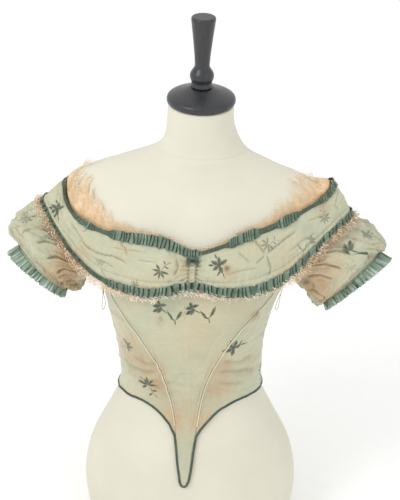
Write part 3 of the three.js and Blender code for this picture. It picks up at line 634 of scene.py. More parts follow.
def creased(x, y, rows):
    """Depth of creases at places in mm. A row is a depth, a width and a run of points.

    The section is a Gaussian trough with a lower ridge at each side, and it fades at the run's ends.
    """
    total = np.zeros(np.broadcast(x, y).shape)
    for depth, width, *run in rows:
        run = np.array(run, float)
        steps = np.diff(run, axis=0)
        parts = np.linalg.norm(steps, axis=1)
        best, where = np.full_like(total, 1e9), np.zeros_like(total)
        for start, step, part, passed in zip(run, steps, parts, np.cumsum(parts) - parts):
            share = np.clip(((x - start[0]) * step[0] + (y - start[1]) * step[1]) / part**2, 0, 1)
            apart = np.hypot(x - start[0] - share * step[0], y - start[1] - share * step[1])
            where = np.where(apart < best, (passed + share * part) / parts.sum(), where)
            best = np.minimum(apart, best)
        fade = smooth(where * 5) * smooth((1 - where) * 5)
        ridge = 0.45 * bell((best - 2.2 * width) / (1.3 * width))
        total += depth * fade * (ridge - bell(best / width))
    return total


def tube(path, normals, radius, sides):
    """A round profile carried along open or closed paths (…, points, 3); it turns with their normals."""
    ahead = unit(np.gradient(path, axis=-2))
    side = unit(np.cross(normals, ahead))
    up = np.cross(ahead, side)
    turn = 2 * np.pi * np.arange(sides)[:, None] / sides
    profile = np.cos(turn) * side[..., None, :] + np.sin(turn) * up[..., None, :]
    return path[..., None, :] + radius * profile


def tube_faces(count, sides, closed):
    """Quads along a tube, which is closed on itself or capped at both ends."""
    rings = grid_faces(count, sides, True)
    if closed:
        m = np.arange(sides)
        after = (m + 1) % sides
        last = (count - 1) * sides
        return np.vstack([rings, np.stack([last + m, last + after, after, m], -1)])
    return np.vstack([rings, end_caps(count, sides)])


# ---------------------------------------------------------------- materials
def linear(code):
    """sRGB hex to linear red, green, blue and 1."""
    value = np.array([int(code[k:k + 2], 16) / 255 for k in (1, 3, 5)])
    value = np.where(value <= 0.04045, value / 12.92, ((value + 0.055) / 1.055) ** 2.4)
    return (*map(float, value), 1.0)


MATH, MIX, NOISE = "ShaderNodeMath", "ShaderNodeMix", "ShaderNodeTexNoise"
SPLIT, ATTRIBUTE, MAPPING = "ShaderNodeSeparateXYZ", "ShaderNodeAttribute", "ShaderNodeMapping"
RANGE, RAMP, BUMP = "ShaderNodeMapRange", "ShaderNodeValToRGB", "ShaderNodeBump"
WAVE, CELLS, VECTOR = "ShaderNodeTexWave", "ShaderNodeTexVoronoi", "ShaderNodeVectorMath"
PLACES = "ShaderNodeTexCoord"


def add_node(tree, kind, inputs=None, out=0, steps=(), **settings):
    """One node and its output.

    Inputs are sockets by name or number, with a value or an output to link. Steps are a ramp's
    places and colours, and the rest are the node's own properties.
    """
    made = tree.nodes.new(kind)
    for key, value in settings.items():
        setattr(made, key, value)
    for key, value in (inputs or {}).items():
        if isinstance(value, bpy.types.NodeSocket):
            tree.links.new(value, made.inputs[key])
        else:
            made.inputs[key].default_value = value
    for k, (place, code) in enumerate(steps):
        elements = made.color_ramp.elements
        element = elements[k] if k < 2 else elements.new(place)
        element.position, element.color = place, linear(code)
    return made.outputs[out]


def new_finish(name, **constants):
    """A material with one Principled shader, whose sockets get the constants.

    Gives the material, the shader and add_node for its tree, which the functions below call node.
    """
    finish = bpy.data.materials.new(name)
    finish.use_nodes = True
    shader = finish.node_tree.nodes["Principled BSDF"]
    for key, value in constants.items():
        shader.inputs[key.replace("_", " ")].default_value = value
    return finish, shader, functools.partial(add_node, finish.node_tree)


def attribute(node, name):
    """A vector that the mesh holds for each of its points."""
    return node(ATTRIBUTE, out="Vector", attribute_name=name)


def split(node, vector):
    return node(SPLIT, {0: vector}).node.outputs


def scaled(node, vector, scale):
    return node(MAPPING, {"Vector": vector, "Scale": scale})


def noise(node, vector, scale=1.0, detail=2.0, roughness=0.5, out=0):
    texture = {"Vector": vector, "Scale": scale, "Detail": detail, "Roughness": roughness}
    return node(NOISE, texture, out)


def ranged(node, value, low, high, to_low=0.0, to_high=1.0):
    limits = {"From Min": low, "From Max": high, "To Min": to_low, "To Max": to_high}
    return node(RANGE, {"Value": value, **limits})


def product(node, a, b):
    return node(MATH, {0: a, 1: b}, operation="MULTIPLY", use_clamp=True)


def blend(node, share, under, over, blend_type="MIX"):
    """Colour under, with a share of the colour over on it; a Mix node's colours are its sockets 6 and 7."""
    return node(MIX, {0: share, 6: under, 7: over}, 2, data_type="RGBA", blend_type=blend_type)


def connect(node, shader, bump=None, **outputs):
    """Links outputs to the shader's sockets of their names; bump is a height, a strength and metres."""
    if bump:
        outputs["Normal"] = node(BUMP, dict(zip(("Height", "Strength", "Distance"), bump)), "Normal")
    for key, value in outputs.items():
        shader.id_data.links.new(value, shader.inputs[key.replace("_", " ")])


def leaf_star(turns, reach, half_wide):
    """Pointed leaves out from one middle, as rows of x, y, turn, half length, half width."""
    return [(reach / 2 * math.cos(math.radians(a)), reach / 2 * math.sin(math.radians(a)), a,
             reach / 2 * (1 + 0.12 * math.sin(a)), half_wide) for a in turns]


# The woven sprigs, in mm about their own middle, stem downwards: rows of x, y, turn, half length and
# half width.
SPRIGS = (
    [*leaf_star((24, 66, 108, 152, 200, -18), 14, 1.9), (0.8, -9, -86, 9, 0.6), (3.6, -19, -62, 5, 0.6),
     (4.4, -11, -20, 4.2, 1.3), (-3.2, -15, 205, 3.8, 1.2)],
    [(-15, 8, 196, 6.5, 3.2), (-11, 3, 248, 6.5, 3), (-16, 1, 225, 6, 2.6), (-8, 11, 18, 6.5, 2.6),
     (-13, 13, 105, 4.5, 2.6), (-5, 3, -32, 7, 1), (4, -3, 126, 9.5, 1.7), (16, 1, 66, 10.5, 2.3),
     (11, -12, 97, 6.5, 0.8), (7, -8, 160, 4, 1.2)],
    [*leaf_star((30, 95, 155, 215, 320), 12, 2.8), (0, 0, 20, 4, 3), (9.5, -9, -42, 8, 0.7),
     (10, -3, 10, 4.5, 1.5), (-9, 8, 140, 3.6, 1.5), (4, 10, 70, 4, 1.8)],
)


def silk_taffeta():
    """Silk taffeta in a close plain weave, woven with sprigs, aged by wear and by damp.

    It gives a crisp soft sheen, fine slubs along both threads, cloudy pale sage and beige, painted
    shade in its creases, and peach and brown marks where it was worn. Threads are 0.1 mm apart; they are
    drawn about 1 mm.
    """
    finish, shader, node = new_finish("sprigged silk taffeta", Sheen_Weight=0.18, Sheen_Roughness=0.35,
                                      Specular_IOR_Level=0.42)
    placed = node(PLACES, out="Object")
    thread, sprig = attribute(node, "thread"), attribute(node, "sprig")
    tone = split(node, attribute(node, "tone"))
    slubs = [noise(node, scaled(node, thread, scale)) for scale in ((0.03, 0.95, 0), (0.8, 0.024, 0))]
    cloud = noise(node, placed, 17.0, 4.0, 0.6)
    blotch = noise(node, placed, 75.0, 5.0, 0.7)
    ground = node(RAMP, {0: cloud}, steps=[(0.3, "#b0b49a"), (0.7, "#c4bea2"), (0.5, "#babba0")])
    weave = node(MATH, {0: slubs[0], 1: slubs[1]}, operation="ADD")
    ground = blend(node, 1.0, ground, ranged(node, weave, 0.75, 1.25, 0.92, 1.06), "MULTIPLY")
    broken = ranged(node, blotch, 0.3, 0.7, 0.45, 1.35)
    for column, code in (("Y", "#c9ab84"), ("Z", "#75624a")):
        ground = blend(node, product(node, tone[column], broken), ground, linear(code))
    # Painted shade: the thread's third column darkens the creases to a grey olive.
    ground = blend(node, split(node, thread)["Z"], ground, linear("#4a4c3d"))

    ragged = noise(node, placed, 330.0, out="Color")
    shift = node(VECTOR, {0: ragged, 1: (0.5, 0.5, 0.5)}, operation="SUBTRACT")
    shift = node(VECTOR, {0: shift, "Scale": 2.2}, operation="SCALE")
    wavy = node(VECTOR, {0: sprig, 1: shift}, operation="ADD")
    kind = split(node, sprig)["Z"]
    drawn = None
    for number, leaves in enumerate(SPRIGS):
        nearest = None
        for x, y, turn, half_long, half_wide in leaves:
            leaf = split(node, node(MAPPING, {
                "Vector": wavy, "Location": (x, y, 0), "Rotation": (0, 0, math.radians(turn)),
                "Scale": (half_long, half_wide, 1)}, vector_type="TEXTURE"))
            aside = node(MATH, {0: leaf["Y"]}, operation="ABSOLUTE")
            edge = node(MATH, {0: leaf["X"], 1: leaf["X"], 2: aside}, operation="MULTIPLY_ADD")
            nearest = edge if nearest is None else node(MATH, {0: nearest, 1: edge}, operation="MINIMUM")
        chosen = node(MATH, {0: kind, 1: float(number), 2: 0.5}, operation="COMPARE")
        shown = product(node, ranged(node, nearest, 1.25, 0.6), chosen)
        drawn = shown if drawn is None else node(MATH, {0: drawn, 1: shown}, operation="ADD")
    leaf_colour = node(RAMP, {0: blotch}, steps=[(0.35, "#3a4336"), (0.65, "#646b55")])
    colour = blend(node, product(node, drawn, tone["X"]), ground, leaf_colour)

    crinkle = noise(node, placed, 130.0, 3.0)
    height = node(MATH, {0: crinkle, 1: 3.0, 2: weave}, operation="MULTIPLY_ADD")
    connect(node, shader, (height, 0.3, 0.0007), Base_Color=colour,
            Roughness=ranged(node, weave, 0.7, 1.3, 0.3, 0.5))
    return finish


def silk_ribbon():
    """Silk ribbon in a plain weave with a ribbed edge, dyed a deep bluish green and faded.

    Crests of the pleats get a painted highlight and their valleys a painted shade. Its ribs run across it,
    0.3 mm apart, and are drawn 1 mm apart.
    """
    finish, shader, node = new_finish("teal silk ribbon", Sheen_Weight=0.2, Sheen_Roughness=0.4,
                                      Specular_IOR_Level=0.4)
    tone = split(node, attribute(node, "tone"))
    fade = noise(node, node(PLACES, out="Object"), 90.0, 4.0)
    rib = noise(node, scaled(node, attribute(node, "thread"), (1, 0.08, 0)))
    # The tone's second column lightens and its third darkens; on pleats and the bow they are painted
    # highlight and painted shade.
    light = node(MATH, {0: fade, 1: 0.5, 2: tone["Y"]}, operation="MULTIPLY_ADD")
    light = node(MATH, {0: light, 1: tone["Z"]}, operation="SUBTRACT")
    colour = node(RAMP, {0: light}, steps=[(0.1, "#232b22"), (0.5, "#536855"), (0.85, "#8a9f8c"),
                                           (1.0, "#b6c8bc")])
    colour = blend(node, 1.0, colour, ranged(node, rib, 0.3, 0.7, 0.85, 1.12), "MULTIPLY")
    connect(node, shader, (rib, 0.35, 0.0005), Base_Color=colour,
            Roughness=ranged(node, rib, 0.0, 1.0, 0.38, 0.6))
    return finish


def silk_cord():
    """Bias silk drawn over a thin cord: pale, with the slant of the bias as fine ridges 1.2 mm apart."""
    finish, shader, node = new_finish("silk covered piping cord", Sheen_Weight=0.15, Specular_IOR_Level=0.4)
    bias = node(MAPPING, {"Vector": attribute(node, "thread"), "Rotation": (0, 0, math.radians(40))})
    slant = node(WAVE, {"Vector": bias, "Scale": 0.26, "Distortion": 1.0, "Detail": 1.0}, "Fac")
    mottle = noise(node, node(PLACES, out="Object"), 60.0)
    colour = node(RAMP, {0: mottle}, steps=[(0.3, "#cdc9ae"), (0.7, "#e2dcc2")])
    connect(node, shader, (slant, 0.4, 0.0003), Base_Color=colour,
            Roughness=ranged(node, slant, 0.0, 1.0, 0.42, 0.58))
    return finish


def cotton_gauze(name, grain, torn, thin):
    """Cotton bobbin net, frayed and yellowed: a see-through haze with denser threads and a torn edge.

    Grain is how fine its tears are, torn how deep they run and thin how much it covers where it is
    thin. The tone holds how near a point is to the free edge, how peach it is and how brown. Meshes
    are 1 mm wide and are drawn 2 mm wide.
    """
    finish, shader, node = new_finish(name, Roughness=0.95, Specular_IOR_Level=0.15)
    placed = node(PLACES, out="Object")
    tone = split(node, attribute(node, "tone"))
    cells = node(CELLS, {"Vector": attribute(node, "thread"), "Scale": 0.5}, feature="DISTANCE_TO_EDGE")
    cloud = noise(node, placed, 60.0, 3.0, 0.6)
    cover = node(MATH, {0: ranged(node, cells, 0.26, 0.08), 1: 0.25,
                        2: ranged(node, cloud, 0.3, 0.65, thin, thin + 0.4)}, operation="MULTIPLY_ADD")
    ragged = noise(node, placed, grain, 3.0, 0.7)
    edge = node(MATH, {0: ragged, 1: torn, 2: tone["X"]}, operation="MULTIPLY_ADD")
    colour = node(RAMP, {0: cloud}, steps=[(0.3, "#f0d8b2"), (0.7, "#fbf0de")])
    for column, code in (("Y", "#ecc795"), ("Z", "#a88564")):
        colour = blend(node, tone[column], colour, linear(code))
    connect(node, shader, (cover, 0.12, 0.001), Base_Color=colour,
            Alpha=product(node, cover, ranged(node, edge, 0.97 + torn / 2, 0.2 + torn / 2)))
    return finish


def mottled(name, scale, dark, light, **constants):
    """A matt finish with a faint mottle of two colours."""
    finish, shader, node = new_finish(name, **constants)
    mottle = noise(node, node(PLACES, out="Object"), scale)
    connect(node, shader, Base_Color=node(RAMP, {0: mottle}, steps=[dark, light]))
    return finish


def cotton_thread(name, dark, light):
    """Loose spun cotton: matt, with a faint mottle along its twist."""
    return mottled(name, 260.0, (0.35, dark), (0.65, light), Roughness=0.9, Specular_IOR_Level=0.2)


def white_paper():
    """Matt white paper, the plain floor, with a barely seen tooth."""
    return mottled("matt white paper", 40.0, (0.2, "#fcfcfb"), (0.8, "#fefefd"), Roughness=0.95,
                   Specular_IOR_Level=0.1)


def stretch_jersey():
    """Cotton jersey over the form, cream and matt; its ribs run up and down 1 mm apart, drawn 2 mm."""
    finish, shader, node = new_finish("cotton jersey cover", Roughness=0.92, Sheen_Weight=0.1,
                                      Specular_IOR_Level=0.2)
    placed = node(PLACES, out="Object")
    rib = node(WAVE, {"Vector": placed, "Scale": 160.0, "Distortion": 0.6, "Detail": 1.0}, "Fac",
               bands_direction="X")
    knit = noise(node, placed, 700.0)
    colour = node(RAMP, {0: noise(node, placed, 12.0, 3.0)}, steps=[(0.3, "#d5d2c1"), (0.7, "#dbd8c8")])
    colour = blend(node, 1.0, colour, ranged(node, knit, 0.3, 0.7, 0.965, 1.0), "MULTIPLY")
    height = node(MATH, {0: knit, 1: 0.6, 2: rib}, operation="MULTIPLY_ADD")
    connect(node, shader, (height, 0.12, 0.0003), Base_Color=colour)
    return finish


def stained_beech():
    """Turned beech, ebonised and waxed: near black with a soft gloss and fine rings from the gouge."""
    finish, shader, node = new_finish("ebonised turned beech", Coat_Weight=0.25, Coat_Roughness=0.25)
    placed = node(PLACES, out="Object")
    grain = noise(node, scaled(node, placed, (420, 420, 30)), detail=3.0)
    gouge = node(WAVE, {"Vector": placed, "Scale": 180.0, "Distortion": 0.4}, "Fac", bands_direction="Z")
    colour = node(RAMP, {0: grain}, steps=[(0.3, "#1b1c1f"), (0.75, "#303134")])
    connect(node, shader, (gouge, 0.1, 0.0002), Base_Color=colour,
            Roughness=ranged(node, grain, 0.0, 1.0, 0.32, 0.52))
    return finish


sprigged_silk = silk_taffeta()
teal_ribbon = silk_ribbon()
silk_piping = silk_cord()
neck_net = cotton_gauze("soft cotton net", 50.0, 0.7, 0.32)
hem_net = cotton_gauze("frayed cotton net", 170.0, 1.3, 0.35)
pale_thread = cotton_thread("loose cotton thread", "#ecd6b9", "#fcf3e6")
brown_thread = cotton_thread("browned cotton thread", "#b08a67", "#e2c6a6")
cotton_jersey = stretch_jersey()
ebonised_wood = stained_beech()
# What the cloths of one kind have in common.
SILK = {"finish": sprigged_silk, "slot": "silk"}
RIBBON = {"finish": teal_ribbon, "slot": "ribbon"}
LACE = {"wall": LACE_WALL, "slot": "lace", "closed": True, "held": "gathered"}

# ---------------------------------------------------------------- the form and its turned top
NECK_SEAM_Z = 600
NECK_GROOVE = (0.8, 1.0)  # its depth, and half its width
# Heights of the form's rings, close together at the neck's seam.
levels = np.concatenate([np.linspace(0, 440, 50), np.linspace(446, 593, 46), np.linspace(595, 605, 21),
                         np.linspace(608, 664, 20)])


def dress_form():
    """Rings of the form's section with a groove at the neck seam, drawn in to the axis at both ends."""
    a, z = np.meshgrid(np.arange(150) * 2.4, levels)
    deep, wide = NECK_GROOVE
    groove = -deep * bell((z - NECK_SEAM_Z) / wide)
    rings = off_form(a, z, groove)
    base, top = rings[0], rings[-1]
    ends = [base * [w, w, 1] + base.mean(0) * [1 - w, 1 - w, 0] for w in (0.02, 0.5, 0.97)]
    tops = [mix(top, top.mean(0) * np.ones_like(top), w) + [0, 0, 0.4] for w in (0.06, 0.5, 0.98)]
    grid = np.concatenate([ends, rings, tops])
    rows, columns = grid.shape[:2]
    return grid.reshape(-1, 3), np.vstack([grid_faces(rows, columns, True), end_caps(rows, columns)])


add_piece("dress_form", *dress_form(), cotton_jersey, "jersey", ["form_body"])


def turned(name, profile, height, node_name):
    """A profile of radius and height, softened at its corners, turned round the neck's axis."""
    profile = np.array(profile, float)
    fine = []
    for (r0, z0), (r1, z1) in zip(profile[:-1], profile[1:]):
        steps = max(2, int(math.hypot(r1 - r0, z1 - z0) / 1.5))
        w = np.linspace(0, 1, steps, endpoint=False)[:, None]
        fine.append(mix(np.array([[r0, z0]]), np.array([[r1, z1]]), w))
    fine = np.vstack([*fine, profile[-1:]])
    kernel = np.array([1, 2, 3, 2, 1]) / 9
    soft = np.stack([np.convolve(np.pad(c, 2, mode="edge"), kernel, "valid") for c in fine.T], -1)
    soft[0], soft[-1] = fine[0], fine[-1]
    soft[:, 0] = np.maximum(soft[:, 0], 0.05)
    a = np.radians(np.arange(72) * 5)
    axis_y = float(read_table(FORM["z"], FORM["back"], height - 1))
    radius, level = soft[:, :1], height + soft[:, 1:]
    grid = points(radius * np.sin(a), axis_y - radius * np.cos(a), level)
    rows, columns = grid.shape[:2]
    faces = np.vstack([grid_faces(rows, columns, True), end_caps(rows, columns)])
    return add_piece(name, grid.reshape(-1, 3), faces, ebonised_wood, "turned_wood", [node_name])


CAP_TOP = 22
turned("turned_cap", [[0, 0], [46, 0], [47.3, 1.6], [47.3, 7], [45.5, 9.4], [38, 13.2], [27, 17],
                      [19, 20.5], [16, CAP_TOP], [0, CAP_TOP]], CAP_Z, "neck_cap")
BALL = CAP_TOP + 0.3
turned("turned_handle", [[0, BALL], [15, BALL], [15.6, BALL + 2], [14.4, BALL + 5], [13.4, BALL + 8],
                         [15.6, BALL + 11], [16.8, BALL + 16], [15.9, BALL + 21], [12.4, BALL + 26],
                         [10, BALL + 30], [11, BALL + 46], [13.6, BALL + 71], [16.6, BALL + 96],
                         [16.9, BALL + 99], [16, BALL + 101], [0, BALL + 101]], CAP_Z, "neck_finial")

# ---------------------------------------------------------------- the bodice's panels
TIP_Z = FRONT_EDGE["z"][0]
SIDE_SEAM = 93.0
MM_PER_DEGREE = 1.75  # along the bodice at the waist
WAIST_Z = 272
WAIST_HIGH = 46  # how far from it the cloth is still crumpled, up and down
CENTRE_BONE = 1.6  # degrees; the boned line down the centre front
BONE = (0.7, 1.5, 408)  # how high it stands, half its width and the height where it ends
SIDE_BONES = (76, 114, 172)  # degrees to both sides


def left_edge(z):
    """Angle of the centre panel's edge on the -X side."""
    return read_table(FRONT_EDGE["z"], FRONT_EDGE["left"], z)


def right_edge(z):
    """Angle of the centre panel's edge on the +X side."""
    return read_table(FRONT_EDGE["z"], FRONT_EDGE["right"], z)


def back_seam(z):
    """Angle of the seam between the side back and the centre back."""
    return read_table(BACK_SEAM["z"], BACK_SEAM["angle"], z)


def hem_height(angle):
    """Height of the bodice's lower edge."""
    return read_table(HEM["angle"], HEM["z"], np.mod(angle + 540, 360) - 180)


def half_seam(angle, z):
    """Half the gap between two panels, in degrees."""
    x, y = form_point(angle, z)[..., 0], form_point(angle, z)[..., 1]
    return np.degrees(SEAM_GAP / 2 / np.hypot(x, y))


# Creases in the bodice: depth and width in mm, then a run of angle in degrees and height in mm.
WAIST_CREASES = [
    (2.2, 4.0, (-66, 282), (-50, 275), (-34, 277), (-19, 290)),
    (1.3, 2.6, (-60, 266), (-44, 261), (-30, 260)), (1.6, 3.4, (-46, 298), (-30, 294), (-20, 302)),
    (1.9, 4.2, (20, 292), (36, 286), (52, 279), (70, 268)), (1.5, 3.2, (20, 272), (34, 264), (52, 257)),
    (1.6, 4.0, (24, 310), (44, 299), (62, 303)),
    (1.5, 2.2, (-78, 348), (-70, 356), (-60, 360), (-46, 359)),
    (0.8, 2.6, (-84, 330), (-66, 322), (-52, 326)), (0.9, 2.4, (84, 338), (70, 330), (54, 334)),
    (0.7, 3.0, (-56, 372), (-44, 350), (-38, 318)), (0.7, 3.0, (58, 372), (46, 344), (40, 310)),
    (0.6, 2.6, (-30, 372), (-27, 340), (-22, 310)), (0.6, 2.6, (12, 300), (17, 340), (26, 376)),
    (0.7, 2.2, (-10, 236), (-7, 222), (-4, 212)),
]
# The back and the sides crease where the waist is smallest: one row for each side and each height.
for number, angle in enumerate((88, 104, 122, 141, 160)):
    for sign in (-1, 1):
        drop = 7 * (number % 2) + 3 * sign
        WAIST_CREASES.append((1.0 + 0.15 * (number % 3), 2.4, (sign * (angle - 9), 270 - drop),
                              (sign * angle, 264 - drop), (sign * (angle + 10), 271 - drop)))
        WAIST_CREASES.append((0.6, 3.2, (sign * angle, 318 + drop), (sign * (angle - 4), 348 + drop),
                              (sign * (angle - 3), 382 + drop)))
WAIST_ROWS = in_mm(WAIST_CREASES, MM_PER_DEGREE, 1)


def turned_back(angle):
    """The angle between -180 and 180, and the way along the waist in mm."""
    turn = np.mod(np.asarray(angle, float) + 180, 360) - 180
    return turn, turn * MM_PER_DEGREE


def crinkled(x, y, seed, size):
    """Broken fine troughs along the lines where a smooth noise is zero."""
    line = bell(crumple(x, y, seed, size) / 0.16)
    return -line * smooth(0.5 + 1.6 * crumple(x, y, seed + 1, size))


def welt(turn, z):
    """Pressed edges of the seam allowance: a low ridge and a stitched groove each side of a front seam."""
    total = 0
    for edge in (left_edge, right_edge):
        aside = np.abs(turn - edge(z)) * MM_PER_DEGREE
        total = total + 0.55 * bell((aside - 2.4) / 1.2) - 0.6 * bell((aside - 4.8) / 0.9)
    return total * smooth((z - 190) / 12)


def bodice_cloth(angle, z, off):
    """The bodice with its creases, a crumpled look that is strongest at the waist, its seams and bones."""
    turn, x = turned_back(angle)
    waist = bell((z - WAIST_Z) / WAIST_HIGH)
    rough = (0.3 + 0.5 * waist) * crumple(x, z * 1.5, 3, 34) + (0.12 + 0.14 * waist) * crumple(x, z, 4, 12)
    high, wide, end = BONE
    bone = high * bell((turn - CENTRE_BONE) * MM_PER_DEGREE / wide) * smooth((end - z) / 12)
    sides = sum(0.45 * bell((np.abs(turn) - at) * MM_PER_DEGREE / 2.2) for at in SIDE_BONES)
    rough = rough + 0.5 * waist * crinkled(x, 1.6 * z, 13, 40)
    relief = 1.2 * creased(x, z, WAIST_ROWS) + rough + bone + sides * smooth((400 - z) / 20) + welt(turn, z)
    return bodice(angle, z, off + relief)


def bodice_crease_shade(angle, z):
    """Painted shade in the troughs of the creases at the waist."""
    return 0.2 * np.clip(-creased(turned_back(angle)[1], z, WAIST_ROWS) - 0.5, 0, 1)


# Sprigs on the bodice: angle, height, turn, size, kind, strength.
BODICE_SPRIGS = [
    (-51, 314, -64, 0.95, 0, 0.95), (-33, 256, 25, 1.15, 0, 1.0), (-11.6, 394, -4, 1.05, 1, 1.0),
    (7.6, 398, 2, 1.05, 1, 1.0), (36, 330, 48, 1.2, 2, 1.0),
]
# Round the sides and the back the same three sprigs follow in a half-drop repeat.
for number, angle in enumerate(range(84, 284, 25)):
    for row in range(3):
        height = 252 + 62 * row + 31 * (number % 2)
        turn, kind = (70 * number + 130 * row) % 360, (number + row) % 3
        if height < 412:
            BODICE_SPRIGS.append((angle, height, turn, 0.95, kind, 0.85))
# Stains on the bodice: angle, height, radius in mm, peach, brown.
BODICE_STAINS = [
    (-46, 296, 30, 0.6, 0.18), (-26, 262, 20, 0.6, 0.18), (-20, 292, 17, 0.45, 0.06),
    (28, 262, 22, 0.55, 0.14), (25, 300, 18, 0.5, 0.06), (60, 288, 24, 0.3, 0.08),
    (-14, 204, 20, 0.75, 0.06), (11, 200, 20, 0.6, 0.06), (0, 215, 44, 0.3, 0.12),
    (-30, 300, 15, 0.3, 0.22), (30, 298, 14, 0.3, 0.14), (-21, 258, 14, 0.3, 0.2),
    (20, 256, 14, 0.3, 0.16), (-44, 330, 24, 0.3, 0.1), (8, 380, 34, 0.2, 0), (10, 340, 34, 0.25, 0),
    (-17, 330, 22, 0.15, 0), (-40, 400, 20, 0.2, 0.02), (34, 398, 22, 0.2, 0.04),
    (-80, 300, 30, 0.35, 0.1), (120, 270, 28, 0.4, 0.1), (200, 280, 30, 0.35, 0.08),
    (170, 400, 26, 0.3, 0.06),
]
bodice_sprigs = sprigs_on(bodice, BODICE_SPRIGS, 1.0, 1.0)
bodice_stains = stains_on(bodice, BODICE_STAINS)


def panel(first, last, bottom, top):
    """A panel's place and painted crease shade: v between its two edges, u between its two seams where they
    meet them.
    """
    def spread(u, v):
        """Angle and height, u between the seams and v between the edges, found by steps."""
        def solve(edge):
            angle = first(np.full_like(u, 300.0)) * (1 - u) + last(np.full_like(u, 300.0)) * u
            for _ in range(24):
                z = edge(angle)
                angle = 0.5 * angle + 0.5 * (first(z) * (1 - u) + last(z) * u)
            return edge(angle)
        z = solve(bottom) * (1 - v) + solve(top) * v
        start = first(z) + half_seam(first(z), z)
        stop = last(z) - half_seam(last(z), z)
        return mix(start, stop, u), z

    def place(u, v, off):
        return bodice_cloth(*spread(u, v), off)
    return {"place": place, "shade": lambda u, v: bodice_crease_shade(*spread(u, v))}


def constant(value):
    """An edge at the same angle at every height."""
    return lambda z: np.full_like(np.asarray(z, float), value)


for name, first, last, bottom, columns, rows, node_name in (
        ("silk_front_centre", left_edge, right_edge, constant(TIP_Z), 100, 160, "front_centre"),
        ("silk_side_front_r", right_edge, constant(SIDE_SEAM), hem_height, 84, 110, "side_front_r"),
        ("silk_side_front_l", constant(-SIDE_SEAM), left_edge, hem_height, 84, 110, "side_front_l"),
        ("silk_back_side_r", constant(SIDE_SEAM), back_seam, hem_height, 44, 84, "back_side_r"),
        ("silk_back_side_l", lambda z: -back_seam(z), constant(-SIDE_SEAM), hem_height, 44, 84,
         "back_side_l"),
        ("silk_back_r", back_seam, constant(180.0), hem_height, 32, 84, "back_r"),
        ("silk_back_l", constant(-180.0), lambda z: -back_seam(z), hem_height, 32, 84, "back_l")):
    add_cloth(name, **panel(first, last, bottom, bodice_top), us=even(columns), vs=even(rows),
              wall=BODICE_WALL, **SILK, stands_for=[node_name], held="stretched",
              sprigs=bodice_sprigs, stains=bodice_stains)


# ---------------------------------------------------------------- piping and stitches
def surface_line(path, out, aside, closed):
    """Points out from the bodice's face and aside from the path's direction, and the normals there."""
    angle, z = np.array(path, float).T
    on = bodice_cloth(angle, z, np.full_like(z, out))
    normal = unit(bodice(angle, z, np.full_like(z, out + 1)) - bodice(angle, z, np.full_like(z, out)))
    ahead = np.roll(on, -1, 0) - np.roll(on, 1, 0)
    if not closed:
        ahead[0], ahead[-1] = on[1] - on[0], on[-1] - on[-2]
    return on + unit(np.cross(unit(ahead), normal)) * aside, normal


TONGUE_ANGLES = (-10.3, 7.3)  # where the lower edge turns down into the tongue


def hem_path():
    """Round from the centre back by -X down one side of the tongue, up the other and home."""
    first, last = TONGUE_ANGLES
    left = np.concatenate([np.linspace(-180, -30, 110), np.linspace(-29, first, 24)])
    right = np.concatenate([np.linspace(last, 29, 26), np.linspace(30, 178, 108)])
    z = np.concatenate([np.linspace(182, 110, 50), [109, 108, 107, 106.4]])
    tip = [(float(left_edge(TIP_Z)) + 0.4, TIP_Z), (float(right_edge(TIP_Z)) - 0.4, TIP_Z)]
    down = list(zip(left_edge(z), z))
    back_up = list(zip(right_edge(z), z))[::-1]
    return [*zip(left, hem_height(left)), *down, *tip, *back_up, *zip(right, hem_height(right))]


CORD_TONE = (0, 0.22, 0.14)  # nothing woven in, how light, how dark


def add_tube(name, path, normals, radius, sides, closed, finish, slot, stands_for=()):
    """A cord sewn along a path; thread is the way along it and the way round it, in mm."""
    rings = tube(path, normals, radius, sides)
    along = np.concatenate([[0], np.cumsum(np.linalg.norm(np.diff(path, axis=0), axis=1))])
    turn = 2 * np.pi * radius * np.arange(sides) / sides
    values = {"thread": points(along[:, None], turn[None], 0.0).reshape(-1, 3),
              "tone": np.tile(CORD_TONE, (rings.size // 3, 1))}
    return add_piece(name, rings.reshape(-1, 3), tube_faces(len(path), sides, closed), finish, slot,
                     stands_for, values)


path, normals = surface_line(hem_path(), -0.3, HEM_PIPING_R + SEAM_GAP + 0.5, True)
add_tube("ribbon_hem_piping", path, normals, HEM_PIPING_R, 10, True, teal_ribbon, "ribbon", ["hem_piping"])
seam_z = np.linspace(196, 420, 150)
for name, edge, node_name in (("piping_front_r", right_edge, "seam_piping_r"),
                              ("piping_front_l", left_edge, "seam_piping_l")):
    path, normals = surface_line(list(zip(edge(seam_z), seam_z)), SEAM_PIPING_R + 0.3, 0, False)
    add_tube(name, path, normals, SEAM_PIPING_R, 8, False, silk_piping, "piping", [node_name])


# Radii of the loose and sewn threads in mm: up to twice as thick as real ones, so that they are seen.
SEAM_STITCH_R, CENTRE_STITCH_R = 0.22, 0.32
PALE_FRINGE_R, BROWN_FRINGE_R, WISP_R, LOOP_R = 0.36, 0.28, 0.2, 0.42
THREAD_SIDES = 4


def many_tubes(name, paths, radius, finish, slot, sides=THREAD_SIDES):
    """Short threads as one piece: a tube along each row of paths (threads, points, 3)."""
    count, length = paths.shape[:2]
    normals = unit(np.array([0.31, 0.22, 0.93]) + 0 * paths)
    rings = tube(paths, normals, radius, sides)
    faces = tube_faces(length, sides, False)
    faces = (faces[None] + (np.arange(count) * length * sides)[:, None, None]).reshape(-1, 4)
    return add_piece(name, rings.reshape(-1, 3), faces, finish, slot)


def stitches(place, u, v, du, dv, lift):
    """Running stitches: each a short arc over the cloth from its own place towards du, dv."""
    share = even(6)
    u, v = u[:, None] + du * share, v[:, None] + dv * share
    return place(u, v, lift * np.sin(np.pi * share) + 0 * u + 0.1)


